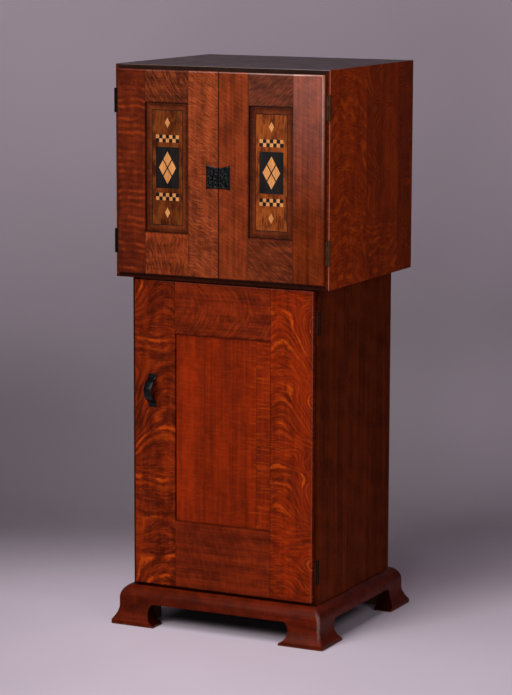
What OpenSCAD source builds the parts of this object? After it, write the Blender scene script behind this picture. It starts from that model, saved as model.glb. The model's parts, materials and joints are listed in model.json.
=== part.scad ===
// Icebox: a small two-stage oak cabinet on a moulded plinth.
// Upper stage: ice chamber behind a pair of inlaid doors. Lower stage: food chamber behind one door.
// Millimetres. +Z is up, the doors face -Y, the origin is on the floor under the middle of the plinth.

/* [Base] */
// Height of the plinth under the lower case
plinth_h = 86; // [78:1:94]
// How far the foot stands out from the top edge of the plinth
foot_out = 33; // [28:1:38]
// Thickness of the plinth boards at the floor
plinth_t = 42; // [38:1:48]
// How far the top edge of the plinth stands in front of and behind the lower case
plinth_ledge = 15.5; // [14:0.5:18]
// How far the waist of the moulding stands out from the top edge of the plinth
waist_out = 20.5; // [17:0.5:24]
// Height of the waist of the moulding above the floor
waist_z = 43; // [38:1:48]
// Height of the upright neck of the moulding between its cove and its crown
neck_h = 14; // [8:1:20]
// Height of the plain lip round the bottom of the moulding
foot_lip = 10; // [6:0.5:14]
// Length of each foot along the floor
foot_len = 104; // [92:1:110]
// Height of the arch between two feet
arch_h = 50; // [44:1:56]
// Depth of the rounded scoop at each end of an arch
scoop = 18; // [14:1:21]
// Height of the deepest point of that scoop above the floor
scoop_z = 30; // [26:1:34]
// Side of the square block glued in each corner of the plinth
block = 40; // [32:1:48]
// Width of the ledge inside the plinth that carries the lower case
ledge_w = 22; // [20:1:28]
// Thickness of the ledge inside the plinth
ledge_h = 16; // [12:1:20]

/* [Lower case] */
// Width of the lower case
lower_w = 446; // [432:1:460]
// Depth of the lower case
lower_d = 372; // [360:1:384]
// Height of the lower case
lower_h = 681; // [660:1:700]

/* [Upper case] */
// Width of the upper case
upper_w = 506; // [492:1:520]
// Depth of the upper case
upper_d = 432; // [420:1:444]
// Height of the upper case
upper_h = 458; // [446:1:470]
// How far the upper case stands in front of the lower case
upper_front = 20; // [16:1:24]

/* [Boards and lining] */
// Thickness of the case boards
board = 20; // [18:0.5:22]
// Thickness of the back boards
back_t = 10; // [8:0.5:12]
// Thickness of the cork between case and liner
cork_t = 14; // [12:0.5:16]
// Thickness of the zinc sheet
sheet = 1; // [0.8:0.1:1.2]

/* [Doors] */
// Thickness of the door lip that laps over the front of the case
lip_t = 11.5; // [11:0.5:13]
// Thickness of the door step that enters the case
step_t = 10; // [9.5:0.5:11]
// Gap between the back of a shut door lip and the front of the case
seam = 1; // [0.8:0.1:1.4]
// Gap round the door step inside the case
step_gap = 1.5; // [1.2:0.1:2]
// Gap between the pair of upper doors
pair_gap = 2; // [1.6:0.1:3]
// Width of case left showing beside the upper doors
upper_reveal = 8; // [7:0.5:9]
// Height of case left showing above and below the upper doors
upper_end = 10; // [8:0.5:12]
// Width of case left showing beside the lower door
lower_reveal = 9.5; // [8:0.5:10.5]
// Height of case left showing above and below the lower door
lower_end = 4.5; // [4:0.5:6]
// Width of the upper door stiles
stile_u = 70.5; // [67:0.5:74]
// Height of the upper door top rails
rail_top_u = 68; // [62:1:74]
// Height of the upper door bottom rails
rail_bot_u = 92; // [86:1:98]
// Width of the lower door stiles
stile_l = 99.5; // [92:0.5:106]
// Height of the lower door top rail
rail_top_l = 113.5; // [104:0.5:122]
// Height of the lower door bottom rail
rail_bot_l = 148; // [138:1:158]
// Thickness of the door panels
panel_t = 8; // [7:0.5:9]
// How far the panels lie behind the face of the door frame
recess = 4; // [3:0.5:5]
// Depth of the groove that holds the panels and the rail tenons
groove = 9; // [8:0.5:10]

/* [Inlay] */
// Thickness of the inlaid pieces
inlay_t = 1.5; // [1.2:0.1:2]
// Width of the dark line round the inlaid field
string_w = 1.6; // [1.2:0.1:2.2]
// Distance from the edge of the panel opening to the dark line, at the sides
string_in = 14; // [12:0.5:15]
// Distance from the edge of the panel opening to the dark line, at top and bottom
string_end = 16; // [13:0.5:20]
// Width of the inlaid field that the two spaces below are drawn for; they narrow with the field
pattern_w = 75; // [68:0.5:82]
// Space between the dark line and the centre block, at each side
block_in = 8; // [6:0.5:10]
// Height of the dark centre block
block_h = 88; // [80:1:96]
// Space between the side of the centre block and the light lozenges
lozenge_in = 7.5; // [5:0.5:10]
// Side of a square in the chequered bands
chequer = 7.95; // [7:0.05:8.7]
// Height of the four light lozenges in the centre block
lozenge_h = 32; // [28:0.5:35]
// Width of the single light lozenge near each end
spear_w = 12; // [9:0.5:15]
// Height of the single light lozenge near each end
spear_h = 22; // [18:0.5:26]

/* [Hinges] */
// Height of a hinge
hinge_h = 50; // [46:1:56]
// Radius of the hinge knuckles
knuckle_r = 3; // [2.8:0.1:3.4]
// Radius of the hinge pins
pin_r = 1.5; // [1.2:0.1:1.7]
// Thickness of a hinge leaf
leaf_t = 1.5; // [1.2:0.1:1.8]
// Width of a hinge leaf from its pin
leaf_w = 17; // [16:0.5:18]
// Distance from the end of a door to the middle of the nearest hinge
hinge_in = 68; // [60:1:76]
// Radius of the small screw heads
screw_r = 2.2; // [1.9:0.1:2.3]

/* [Latch and pull] */
// Width of one half of the latch plate
plate_w = 28.5; // [24:0.5:32]
// Height of the latch plate
plate_h = 53; // [46:1:58]
// Thickness of the latch plate
plate_t = 2; // [1.6:0.1:2.6]
// Depth of the curve between the top corners of the latch plate
horn = 6.5; // [4:0.5:8]
// Height of the middle of the latch plate above the bottom of the upper case
latch_up = 227; // [215:1:239]
// Height of the bow of the pull between its feet
pull_bow = 46; // [42:1:50]
// Height of each flat foot of the pull
pull_foot = 13; // [12:0.5:16]
// Width of the pull strap
pull_w = 20; // [16:0.5:24]
// Thickness of the pull strap
pull_t = 4; // [3:0.5:4.5]
// Distance from the free edge of the lower door to the middle of the pull
pull_in = 44.5; // [40:0.5:50]
// Height of the middle of the pull above the bottom of the lower door
pull_up = 431.5; // [410:0.5:450]

/* [Bolts and catch] */
// Width of the lock on the back of the right door
lock_w = 58; // [54:1:62]
// Height of the lock
lock_h = 46; // [42:1:52]
// Thickness of the lock
lock_t = 10; // [9:0.5:12]
// Height of the lock bolt
bolt_h = 10; // [8:0.5:12]
// Radius of the flush bolt in the left door
flush_r = 2.2; // [2:0.1:2.3]
// Distance the flush bolt drops
flush_drop = 9; // [7:0.5:10]
// Radius of the catch ball in the lower door
ball_r = 2.6; // [2.4:0.1:2.8]

/* [Inside] */
// Outer radius of the drain pipe
pipe_r = 13; // [11:0.5:15]
// Wall of the drain pipe
pipe_wall = 1.5; // [1.2:0.1:2]
// Height of the drip pan
pan_h = 45; // [38:1:52]
// Thickness of the rack slats under the ice
slat_t = 12; // [10:0.5:14]
// Width of the rack slats
slat_w = 34; // [30:1:38]
// Number of rack slats
slat_n = 8; // [7:1:9]
// Height of the bearers under the slats
bearer_h = 16; // [14:1:20]
// Radius of the rim wires of a shelf
wire_r = 3; // [2.5:0.25:3.5]
// Number of cross wires in a shelf
wire_n = 15; // [11:1:19]
// Thickness of the shelf cleats
cleat = 12; // [10:0.5:14]

/* [Hidden] */
$fn = 64;
// Overshoot of cutting shapes
eps = 1;
// Running clearance of a pin in its bore and of a rod in its guide
run = 0.05;
// Clearance round sliding and turning pieces
slide_gap = 0.3;
// Hairline between separate pieces laid edge to edge
hair = 0.1;

// Levels and faces of the cases
lower_x = lower_w / 2;
lower_yf = -lower_d / 2;
lower_yb = lower_d / 2;
lower_z0 = plinth_h;
lower_z1 = lower_z0 + lower_h;
upper_x = upper_w / 2;
upper_yf = lower_yf - upper_front;
upper_yb = upper_yf + upper_d;
upper_z0 = lower_z1;
upper_z1 = upper_z0 + upper_h;

// Plinth: top edge, and the two arcs of its moulding with the upright neck between them
edge_x = lower_x;
edge_y = lower_yb + plinth_ledge;
half_x = edge_x + foot_out;
half_y = edge_y + foot_out;
crown_w = waist_out - 1;
crown_z = waist_z + neck_h;
crown_h = plinth_h - crown_z;
crown_r = (crown_w * crown_w + crown_h * crown_h) / (2 * crown_w);
cove_w = foot_out - waist_out;
cove_h = waist_z - foot_lip;
cove_r = (cove_w * cove_w + cove_h * cove_h) / (2 * cove_w);
scoop_r = (arch_h * arch_h / 4 + scoop * scoop) / (2 * scoop);
block_top = plinth_h - ledge_h;
block_z = 6;

// Liners: the flange of each liner lies behind the shut door, with a felt strip between
seal_t = 2.6;
step_in = step_t - seam;
liner_set = step_in + seal_t + 0.4;
upper_hx = upper_x - board - cork_t - sheet;
upper_lf = upper_yf + liner_set;
upper_lb = upper_yb - back_t - cork_t - sheet;
upper_l0 = upper_z0 + board + cork_t + sheet;
upper_l1 = upper_z1 - board - cork_t - sheet;
lower_hx = lower_x - board - cork_t - sheet;
lower_lf = lower_yf + liner_set;
lower_lb = lower_yb - back_t - cork_t - sheet;
lower_l0 = lower_z0 + board + cork_t + sheet;
lower_l1 = lower_z1 - board - cork_t - sheet;
seal_w = 8;

// Doors: [left, right, bottom, top, face, step insets left right bottom top, stile, bottom rail, top rail]
upper_face = upper_yf - seam - lip_t;
lower_face = lower_yf - seam - lip_t;
upper_side_in = board + step_gap - upper_reveal;
upper_end_in = board + step_gap - upper_end;
lower_side_in = board + step_gap - lower_reveal;
lower_end_in = board + step_gap - lower_end;
upper_d0 = upper_z0 + upper_end;
upper_d1 = upper_z1 - upper_end;
lower_d0 = lower_z0 + lower_end;
lower_d1 = lower_z1 - lower_end;
left_door = [-(upper_x - upper_reveal), -pair_gap / 2, upper_d0, upper_d1, upper_face,
    upper_side_in, 0, upper_end_in, upper_end_in, stile_u, rail_bot_u, rail_top_u];
right_door = [pair_gap / 2, upper_x - upper_reveal, upper_d0, upper_d1, upper_face,
    0, upper_side_in, upper_end_in, upper_end_in, stile_u, rail_bot_u, rail_top_u];
lower_door = [-(lower_x - lower_reveal), lower_x - lower_reveal, lower_d0, lower_d1, lower_face,
    lower_side_in, lower_side_in, lower_end_in, lower_end_in, stile_l, rail_bot_l, rail_top_l];
tenon = groove - 0.5;
tongue = groove - 1;

// Inlaid fields of the upper panels
panel_w = right_door[1] - right_door[0] - 2 * stile_u;
panel_h = upper_d1 - upper_d0 - rail_bot_u - rail_top_u;
panel_cx = (right_door[0] + right_door[1]) / 2;
panel_cz = upper_d0 + rail_bot_u + panel_h / 2;
field_w = panel_w - 2 * string_in;
field_h = panel_h - 2 * string_end;
pattern_fit = field_w / pattern_w;
block_w = field_w - 2 * string_w - 2 * block_in * pattern_fit;
chequer_n = floor(block_w / chequer);
lozenge_gap = 1.5;
lozenge_w = block_w / 2 - (lozenge_in + lozenge_gap) * pattern_fit;
band_z = block_h / 2 + 10;
spear_z = (band_z + 2 * chequer + field_h / 2 - string_w) / 2;

// Hinges: axis at the front corner of the case, in the middle of the seam
hinge_uy = upper_yf - seam / 2;
hinge_ly = lower_yf - seam / 2;
hinge_uz = [upper_d0 + hinge_in, upper_d1 - hinge_in];
hinge_lz = [lower_d0 + hinge_in, lower_d1 - hinge_in];
knuckles = 5;
knuckle_h = hinge_h / knuckles;
leaf_root = knuckle_r + 0.4;
leaf_sink = leaf_t + run - seam / 2;
tip_h = 1.5;
tip_r = knuckle_r - 0.6;
hinge_screw_x = 13;
hinge_screw_z = hinge_h * 0.28;
case_screw_len = 15;
door_screw_len = 8;
shank_r = 1.2;

// Latch plates, lock and bolts
latch_z = upper_z0 + latch_up;
plate_gap = 0.4;
horn_r = (plate_w * plate_w + horn * horn) / (2 * horn);
sole = 2;
sole_r = (plate_w * plate_w + sole * sole) / (2 * sole);
nail_x = 14;
nail_z = [4, -11];
nail_len = 9;
dome_r = 4;
dome_h = 1.2;
key_r = 1.8;
key_w = 1.6;
key_drop = 5;
key_z = -3.5;
lock_x = pair_gap / 2 + 2;
lock_y = upper_face + lip_t + step_t;
lock_wall = 1.5;
bolt_len = lock_w * 0.6;
bolt_throw = 8;
bolt_t = lock_t - 2 * lock_wall - 2 * slide_gap;
lock_screw_in = 6;
flush_x = -(pair_gap / 2 + 11);
flush_y = upper_face + lip_t + step_t / 2 + 0.8;
flush_z0 = upper_d0 + upper_end_in + 0.5;
flush_len = 75;
thumb = 9;
thumb_t = 5;
ball_x = -(lower_x - board - step_gap) + ball_r - 2.2;
ball_y = lower_face + lip_t + step_t / 2;
ball_z = lower_d0 + pull_up;
barrel_r = ball_r + 0.9;
barrel_len = 16;
ball_bore = 9;

// Pull
pull_x = -(lower_x - lower_reveal) + pull_in;
pull_z = lower_d0 + pull_up;
pull_screw_len = 16;

// Inside fittings
pipe_x = -lower_hx * 0.62;
pipe_y = lower_lb - pipe_r - 8;
pipe_end = lower_l0 + pan_h + 15;
pipe_hole = pipe_r + 0.5;
pipe_flange = 22;
pan_x = lower_hx - 24;
pan_yf = lower_lf + 46;
pan_yb = lower_lb - 10;
pan_wall = 1.4;
pan_rim = 6;
shelf_yf = lower_lf + 14;
shelf_yb = pipe_y - pipe_r - 10;
shelf_z = [lower_l0 + (lower_l1 - lower_l0) * 0.31, lower_l0 + (lower_l1 - lower_l0) * 0.65];
wire_thin = wire_r - 1;
shelf_x = lower_hx - 1;
rack_yf = upper_lf + 26;
rack_yb = pipe_y + pipe_r - 40;
rack_x = upper_hx - 6;
bearer_w = 24;
join_r = 2.2;
join_head = 4.5;
join_x = lower_x - board - 26;
join_y = lower_yb - 70;

// Box between two opposite corners
module box(a, b) {
  translate(a) cube(b - a);
}

// Round rods along X and along Y
module rod_x(at, len, r) {
  translate(at) rotate([0, 90, 0]) cylinder(h = len, r = r);
}

module rod_y(at, len, r) {
  translate(at) rotate([-90, 0, 0]) cylinder(h = len, r = r);
}

// Section of the plinth moulding: first axis outward from the top edge, second axis up
module plinth_section() {
  inner = foot_out - plinth_t;
  translate([inner, 0]) square([plinth_t, foot_lip]);
  translate([inner - ledge_w, plinth_h - ledge_h]) square([ledge_w + eps, ledge_h]);
  difference() {
    translate([inner, 0]) square([plinth_t, waist_z]);
    translate([waist_out + cove_r, waist_z]) circle(r = cove_r);
    translate([waist_out + cove_r, foot_lip]) square([cove_r, cove_h]);
  }
  translate([inner, waist_z]) square([waist_out - inner, neck_h]);
  translate([inner, crown_z]) square([eps / 2 - inner, crown_h]);
  intersection() {
    translate([0, crown_z]) square([waist_out, crown_h]);
    translate([waist_out - crown_r, crown_z]) circle(r = crown_r);
  }
}

// Opening between two feet, with a round scoop at each end that is cut off by the top of the arch
module arch(half) {
  wide = half + scoop;
  translate([-half, -eps]) square([2 * half, arch_h + eps]);
  intersection() {
    translate([-wide, 0]) square([2 * wide, arch_h]);
    for (s = [-1, 1]) {
      translate([s * (wide - scoop_r), scoop_z]) circle(r = scoop_r);
    }
  }
}

// One mitred plinth board on the +Y side
module plinth_board(edge, half) {
  deep = plinth_t + ledge_w;
  difference() {
    intersection() {
      translate([-half, edge, 0]) rotate([90, 0, 90]) linear_extrude(2 * half) plinth_section();
      linear_extrude(plinth_h) polygon([
        [-half, edge + foot_out],
        [half, edge + foot_out],
        [half - deep, edge + foot_out - deep],
        [deep - half, edge + foot_out - deep]
      ]);
    }
    translate([0, edge + foot_out + eps, 0]) rotate([90, 0, 0]) linear_extrude(plinth_t + 2 * eps)
      arch(half - foot_len);
  }
}

// Hinge pieces, with the axis at the origin, the case inboard at -X and the door in front at -Y
module leaf(side, first) {
  y0 = side > 0 ? run : -run - leaf_t;
  difference() {
    union() {
      box([-leaf_w, y0, -hinge_h / 2], [-leaf_root, y0 + leaf_t, hinge_h / 2]);
      for (i = [first : 2 : knuckles - 1]) {
        z0 = -hinge_h / 2 + i * knuckle_h + hair;
        translate([0, 0, z0]) cylinder(h = knuckle_h - 2 * hair, r = knuckle_r);
        box([-leaf_root - hair, y0, z0], [0, y0 + leaf_t, z0 + knuckle_h - 2 * hair]);
      }
    }
    translate([0, 0, -hinge_h]) cylinder(h = 2 * hinge_h, r = pin_r + run);
  }
}

module pin() {
  translate([0, 0, -hinge_h / 2]) cylinder(h = hinge_h, r = pin_r);
  for (s = [-1, 1]) {
    translate([0, 0, s * (hinge_h + tip_h) / 2]) cylinder(h = tip_h, r = tip_r, center = true);
  }
}

// Screws through the case leaf and through the door leaf, heads flush
module case_leaf_screws() {
  for (s = [-1, 1]) {
    rod_y([-hinge_screw_x, run, s * hinge_screw_z], leaf_t, screw_r);
    rod_y([-hinge_screw_x, run + leaf_t / 2, s * hinge_screw_z], case_screw_len, shank_r);
  }
}

module door_leaf_screws() {
  for (s = [-1, 1]) {
    rod_y([-hinge_screw_x, -run - leaf_t, s * hinge_screw_z], leaf_t, screw_r);
    rod_y([-hinge_screw_x, -run - door_screw_len, s * hinge_screw_z], door_screw_len - leaf_t / 2, shank_r);
  }
}

// Recess in the case for a leaf and its knuckles, and recess in the door lip for a leaf
module case_hinge_cut() {
  box([-leaf_w, 0, -hinge_h / 2], [eps, run + leaf_t, hinge_h / 2]);
  translate([0, 0, -hinge_h / 2 - tip_h - eps])
    cylinder(h = hinge_h + 2 * tip_h + 2 * eps, r = knuckle_r + slide_gap);
}

module door_hinge_cut() {
  box([-leaf_w, -run - leaf_t, -hinge_h / 2], [eps, 0, hinge_h / 2]);
}

module at_right_hinges() {
  for (z = hinge_uz) {
    translate([upper_x, hinge_uy, z]) children();
  }
}

module at_left_hinges() {
  mirror([1, 0, 0]) at_right_hinges() children();
}

module at_lower_hinges() {
  for (z = hinge_lz) {
    translate([lower_x, hinge_ly, z]) children();
  }
}

// Long screws that hold the upper case to the lower case
module joining_screws() {
  for (sx = [-1, 1]) {
    for (sy = [-1, 1]) {
      translate([sx * join_x, sy * join_y, lower_z1 - board]) {
        cylinder(h = 3, r = join_head);
        cylinder(h = board * 1.6, r = join_r);
      }
    }
  }
}

module case_screw_set() {
  at_right_hinges() case_leaf_screws();
  at_left_hinges() case_leaf_screws();
  at_lower_hinges() case_leaf_screws();
  joining_screws();
}

// Door frame members; the list holds the sizes of the door
module stile(d, right) {
  xa = right ? d[1] - d[9] : d[0];
  xb = right ? d[1] : d[0] + d[9];
  sa = right ? xa : xa + d[5];
  sb = right ? xb - d[6] : xb;
  gx = right ? xa : xb;
  difference() {
    union() {
      box([xa, d[4], d[2]], [xb, d[4] + lip_t, d[3]]);
      box([sa, d[4] + recess + panel_t - eps, d[2] + d[7]], [sb, d[4] + lip_t + step_t, d[3] - d[8]]);
    }
    box([gx - groove, d[4] + recess, d[2] - eps], [gx + groove, d[4] + recess + panel_t, d[3] + eps]);
  }
}

module rail(d, top) {
  xa = d[0] + d[9];
  xb = d[1] - d[9];
  za = top ? d[3] - d[11] : d[2];
  zb = top ? d[3] : d[2] + d[10];
  sa = top ? za : za + d[7];
  sb = top ? zb - d[8] : zb;
  gz = top ? za : zb;
  y0 = d[4] + recess;
  difference() {
    union() {
      box([xa, d[4], za], [xb, d[4] + lip_t, zb]);
      box([xa, y0 + panel_t - eps, sa], [xb, d[4] + lip_t + step_t, sb]);
      box([xa - tenon, y0, za], [xb + tenon, y0 + panel_t, zb]);
    }
    box([xa - groove, y0, gz - groove], [xb + groove, y0 + panel_t, gz + groove]);
  }
}

module panel(d) {
  box([d[0] + d[9] - tongue, d[4] + recess, d[2] + d[10] - tongue],
    [d[1] - d[9] + tongue, d[4] + recess + panel_t, d[3] - d[11] + tongue]);
}

// Flat outlines of the inlay, about the middle of an upper panel
module lozenge(w, h) {
  polygon([[-w / 2, 0], [0, -h / 2], [w / 2, 0], [0, h / 2]]);
}

module four_lozenges() {
  for (s = [-1, 1]) {
    translate([s * (lozenge_w / 2 + lozenge_gap), 0]) lozenge(lozenge_w, lozenge_h);
    translate([0, s * (lozenge_h / 2 + 2.5)]) lozenge(lozenge_w, lozenge_h);
  }
}

module chequer_squares(odd) {
  for (s = [-1, 1]) {
    for (i = [0 : chequer_n - 1]) {
      for (j = [0, 1]) {
        if ((i + j) % 2 == odd) {
          translate([(i - chequer_n / 2) * chequer + hair, s * (band_z + (j + 0.5) * chequer)])
            translate([0, hair - chequer / 2]) square(chequer - 2 * hair);
        }
      }
    }
  }
}

module string_line() {
  difference() {
    square([field_w, field_h], center = true);
    square([field_w - 2 * string_w, field_h - 2 * string_w], center = true);
  }
}

module dark_outline() {
  difference() {
    square([block_w, block_h], center = true);
    four_lozenges();
  }
  chequer_squares(0);
  string_line();
}

module light_outline() {
  four_lozenges();
  chequer_squares(1);
  for (s = [-1, 1]) {
    translate([0, s * spear_z]) lozenge(spear_w, spear_h);
  }
}

module pocket_outline() {
  square([block_w, block_h], center = true);
  for (s = [-1, 1]) {
    translate([0, s * (band_z + chequer)]) square([chequer_n * chequer, 2 * chequer], center = true);
    translate([0, s * spear_z]) lozenge(spear_w, spear_h);
  }
  string_line();
}

// Sets an outline of the inlay into the face of the left (-1) or right (1) panel
module inlaid(side, front) {
  translate([side * panel_cx, upper_face + recess + inlay_t, panel_cz]) rotate([90, 0, 0])
    linear_extrude(inlay_t + front) children();
}

// Latch plate half on the right door, and the nails that hold it
module half_plate() {
  translate([0, upper_face, latch_z]) rotate([90, 0, 0]) linear_extrude(plate_t) difference() {
    translate([plate_gap, -plate_h / 2]) square([plate_w - plate_gap, plate_h]);
    translate([0, plate_h / 2 - horn + horn_r]) circle(r = horn_r);
    translate([0, sole - plate_h / 2 - sole_r]) circle(r = sole_r);
  }
}

module domed_nail(len) {
  rotate([90, 0, 0]) translate([0, 0, -len]) cylinder(h = len, r = shank_r);
  intersection() {
    translate([0, dome_r - dome_h, 0]) sphere(r = dome_r);
    translate([0, -dome_h, 0]) rotate([-90, 0, 0]) cylinder(h = dome_h, r = dome_r);
  }
}

module latch_nails() {
  for (z = nail_z) {
    translate([nail_x, upper_face - plate_t, latch_z + z]) domed_nail(nail_len);
  }
}

module keyhole() {
  rod_y([nail_x, upper_face - plate_t - eps, latch_z + key_z], lip_t + step_t + plate_t + eps, key_r);
  box([nail_x - key_w / 2, upper_face - plate_t - eps, latch_z + key_z - key_drop],
    [nail_x + key_w / 2, lock_y, latch_z + key_z]);
}

module lock_screws() {
  for (s = [-1, 1]) {
    x = lock_x + lock_w - lock_screw_in;
    z = latch_z + s * (lock_h / 2 - lock_screw_in);
    rod_y([x, lock_y + lock_t - eps, z], eps + 1, screw_r);
    rod_y([x, lock_y - step_t + 2, z], lock_t + step_t - 2, shank_r);
  }
}

// Fixings of each door, drawn once and cut from the pieces they pass through
module left_fixing_set() {
  at_left_hinges() door_leaf_screws();
  mirror([1, 0, 0]) latch_nails();
}

module right_fixing_set() {
  at_right_hinges() door_leaf_screws();
  latch_nails();
  lock_screws();
}

module pull_screws() {
  for (s = [-1, 1]) {
    translate([pull_x, lower_face - pull_t, pull_z + s * (pull_bow + pull_foot) / 2])
      domed_nail(pull_screw_len);
  }
}

module lower_fixing_set() {
  at_lower_hinges() door_leaf_screws();
  pull_screws();
}

// Flush bolt and the guide it slides in
module flush_rod(r, extra) {
  translate([flush_x, flush_y, flush_z0 - extra]) cylinder(h = flush_len + extra, r = r);
}

module flush_guide() {
  flush_rod(flush_r + run, 2 * eps);
  half_t = thumb_t / 2 + slide_gap;
  box([flush_x - half_t, flush_y - half_t, flush_z0 + flush_len - 2 * thumb - flush_drop],
    [0, flush_y + half_t, flush_z0 + flush_len + slide_gap]);
}

// Case boards; the upper case is mitred at its four corners
module upper_frame() {
  translate([0, upper_yb, 0]) rotate([90, 0, 0]) linear_extrude(upper_d) children();
}

module upper_side_raw() {
  upper_frame() polygon([[upper_x, upper_z0], [upper_x, upper_z1],
    [upper_x - board, upper_z1 - board], [upper_x - board, upper_z0 + board]]);
}

module pipe_cut() {
  translate([pipe_x, pipe_y, lower_l1 - eps]) cylinder(h = upper_l0 - lower_l1 + 2 * eps, r = pipe_hole);
}

// Five cork slabs round a liner
module cork_box(hx, yf, yb, z0, z1) {
  ix = hx + sheet;
  for (s = [-1, 1]) {
    box([min(s * ix, s * (ix + cork_t)), yf + sheet, z0 - sheet - cork_t],
      [max(s * ix, s * (ix + cork_t)), yb + sheet + cork_t, z1 + sheet + cork_t]);
  }
  box([hair - ix, yf + sheet, z0 - sheet - cork_t], [ix - hair, yb + sheet, z0 - sheet]);
  box([hair - ix, yf + sheet, z1 + sheet], [ix - hair, yb + sheet, z1 + sheet + cork_t]);
  box([hair - ix, yb + sheet + hair, z0 - sheet - cork_t],
    [ix - hair, yb + sheet + cork_t, z1 + sheet + cork_t]);
}

// Zinc liner: five sheets and a front flange of four strips, laid edge to edge
module liner_box(hx, yf, yb, z0, z1) {
  gx = hx + sheet;
  gz = sheet + cork_t;
  for (s = [-1, 1]) {
    box([min(s * hx, s * gx), yf, z0 - sheet], [max(s * hx, s * gx), yb + sheet, z1 + sheet]);
    box([min(s * (gx + hair), s * (gx + cork_t)), yf, z0 - gz],
      [max(s * (gx + hair), s * (gx + cork_t)), yf + sheet, z1 + gz]);
  }
  box([hair - hx, yf, z0 - sheet], [hx - hair, yb + sheet, z0]);
  box([hair - hx, yf, z1], [hx - hair, yb + sheet, z1 + sheet]);
  box([hair - hx, yb, z0 + hair], [hx - hair, yb + sheet, z1 - hair]);
  box([-gx, yf, z0 - gz], [gx, yf + sheet, z0 - sheet - hair]);
  box([-gx, yf, z1 + sheet + hair], [gx, yf + sheet, z1 + gz]);
}

// Felt strips on the liner flange
module seal_ring(hx, yf, z0, z1) {
  a = sheet + 3;
  for (s = [-1, 1]) {
    box([min(s * (hx + a), s * (hx + a + seal_w)), yf - seal_t, z0 - a - seal_w],
      [max(s * (hx + a), s * (hx + a + seal_w)), yf, z1 + a + seal_w]);
  }
  box([hair - hx - a, yf - seal_t, z0 - a - seal_w], [hx + a - hair, yf, z0 - a]);
  box([hair - hx - a, yf - seal_t, z1 + a], [hx + a - hair, yf, z1 + a + seal_w]);
}

module shelf(z) {
  zc = z + wire_r;
  step = 2 * (shelf_x - 12) / (wire_n - 1);
  for (y = [shelf_yf, (shelf_yf + shelf_yb) / 2, shelf_yb]) {
    rod_x([-shelf_x, y, zc], 2 * shelf_x, wire_r);
  }
  for (i = [0 : wire_n - 1]) {
    rod_y([12 - shelf_x + i * step, shelf_yf, zc], shelf_yb - shelf_yf, wire_thin);
  }
}

// Plinth

module plinth_front() {
  color("#5a2a16") rotate([0, 0, 180]) plinth_board(edge_y, half_x);
}

module plinth_back() {
  color("#5a2a16") plinth_board(edge_y, half_x);
}

module plinth_sides() {
  color("#5a2a16") {
    rotate([0, 0, 90]) plinth_board(edge_x, half_y);
    rotate([0, 0, -90]) plinth_board(edge_x, half_y);
  }
}

module corner_blocks() {
  bx = half_x - plinth_t;
  by = half_y - plinth_t;
  color("#8a6a45") {
    for (sx = [-1, 1]) {
      for (sy = [-1, 1]) {
        box([min(sx * bx, sx * (bx - block)), min(sy * by, sy * (by - block)), block_z],
          [max(sx * bx, sx * (bx - block)), max(sy * by, sy * (by - block)), block_top]);
      }
    }
  }
}

// Lower case

module lower_left_side() {
  color("#4a2213") difference() {
    box([-lower_x, lower_yf, lower_z0], [board - lower_x, lower_yb, lower_z1]);
    rod_x([-lower_x + board - 4, ball_y, ball_z], 4 + eps, ball_r + 0.4);
  }
}

module lower_right_side() {
  color("#4a2213") difference() {
    box([lower_x - board, lower_yf, lower_z0], [lower_x, lower_yb, lower_z1]);
    at_lower_hinges() case_hinge_cut();
    at_lower_hinges() case_leaf_screws();
  }
}

module lower_floor() {
  color("#5a2a16") box([board - lower_x, lower_yf, lower_z0], [lower_x - board, lower_yb, lower_z0 + board]);
}

module lower_top() {
  color("#5a2a16") difference() {
    box([board - lower_x, lower_yf, lower_z1 - board], [lower_x - board, lower_yb, lower_z1]);
    joining_screws();
    pipe_cut();
  }
}

module lower_back() {
  color("#6b4a2c") box([board - lower_x, lower_yb - back_t, lower_z0 + board],
    [lower_x - board, lower_yb, lower_z1 - board]);
}

// Upper case

module upper_left_side() {
  color("#54271a") difference() {
    mirror([1, 0, 0]) upper_side_raw();
    at_left_hinges() case_hinge_cut();
    at_left_hinges() case_leaf_screws();
  }
}

module upper_right_side() {
  color("#54271a") difference() {
    upper_side_raw();
    at_right_hinges() case_hinge_cut();
    at_right_hinges() case_leaf_screws();
  }
}

module upper_floor() {
  color("#54271a") difference() {
    upper_frame() polygon([[-upper_x, upper_z0], [upper_x, upper_z0],
      [upper_x - board, upper_z0 + board], [board - upper_x, upper_z0 + board]]);
    joining_screws();
    pipe_cut();
    translate([flush_x, flush_y, upper_z0 + board - flush_drop - 2])
      cylinder(h = flush_drop + 2 + eps, r = flush_r + 0.4);
  }
}

module upper_top() {
  color("#54271a") upper_frame() polygon([[-upper_x, upper_z1], [upper_x, upper_z1],
    [upper_x - board, upper_z1 - board], [board - upper_x, upper_z1 - board]]);
}

module upper_back() {
  color("#6b4a2c") box([board - upper_x, upper_yb - back_t, upper_z0 + board],
    [upper_x - board, upper_yb, upper_z1 - board]);
}

// Lining and inside fittings

module cork_slabs() {
  color("#9c7646") difference() {
    union() {
      cork_box(upper_hx, upper_lf, upper_lb, upper_l0, upper_l1);
      cork_box(lower_hx, lower_lf, lower_lb, lower_l0, lower_l1);
    }
    pipe_cut();
  }
}

module ice_liner() {
  color("#a9adb0") difference() {
    liner_box(upper_hx, upper_lf, upper_lb, upper_l0, upper_l1);
    translate([pipe_x, pipe_y, upper_l0 - sheet - eps]) cylinder(h = sheet + 2 * eps, r = pipe_r);
  }
}

module food_liner() {
  color("#a9adb0") difference() {
    liner_box(lower_hx, lower_lf, lower_lb, lower_l0, lower_l1);
    translate([pipe_x, pipe_y, lower_l1 - eps]) cylinder(h = sheet + 2 * eps, r = pipe_r);
  }
}

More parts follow.
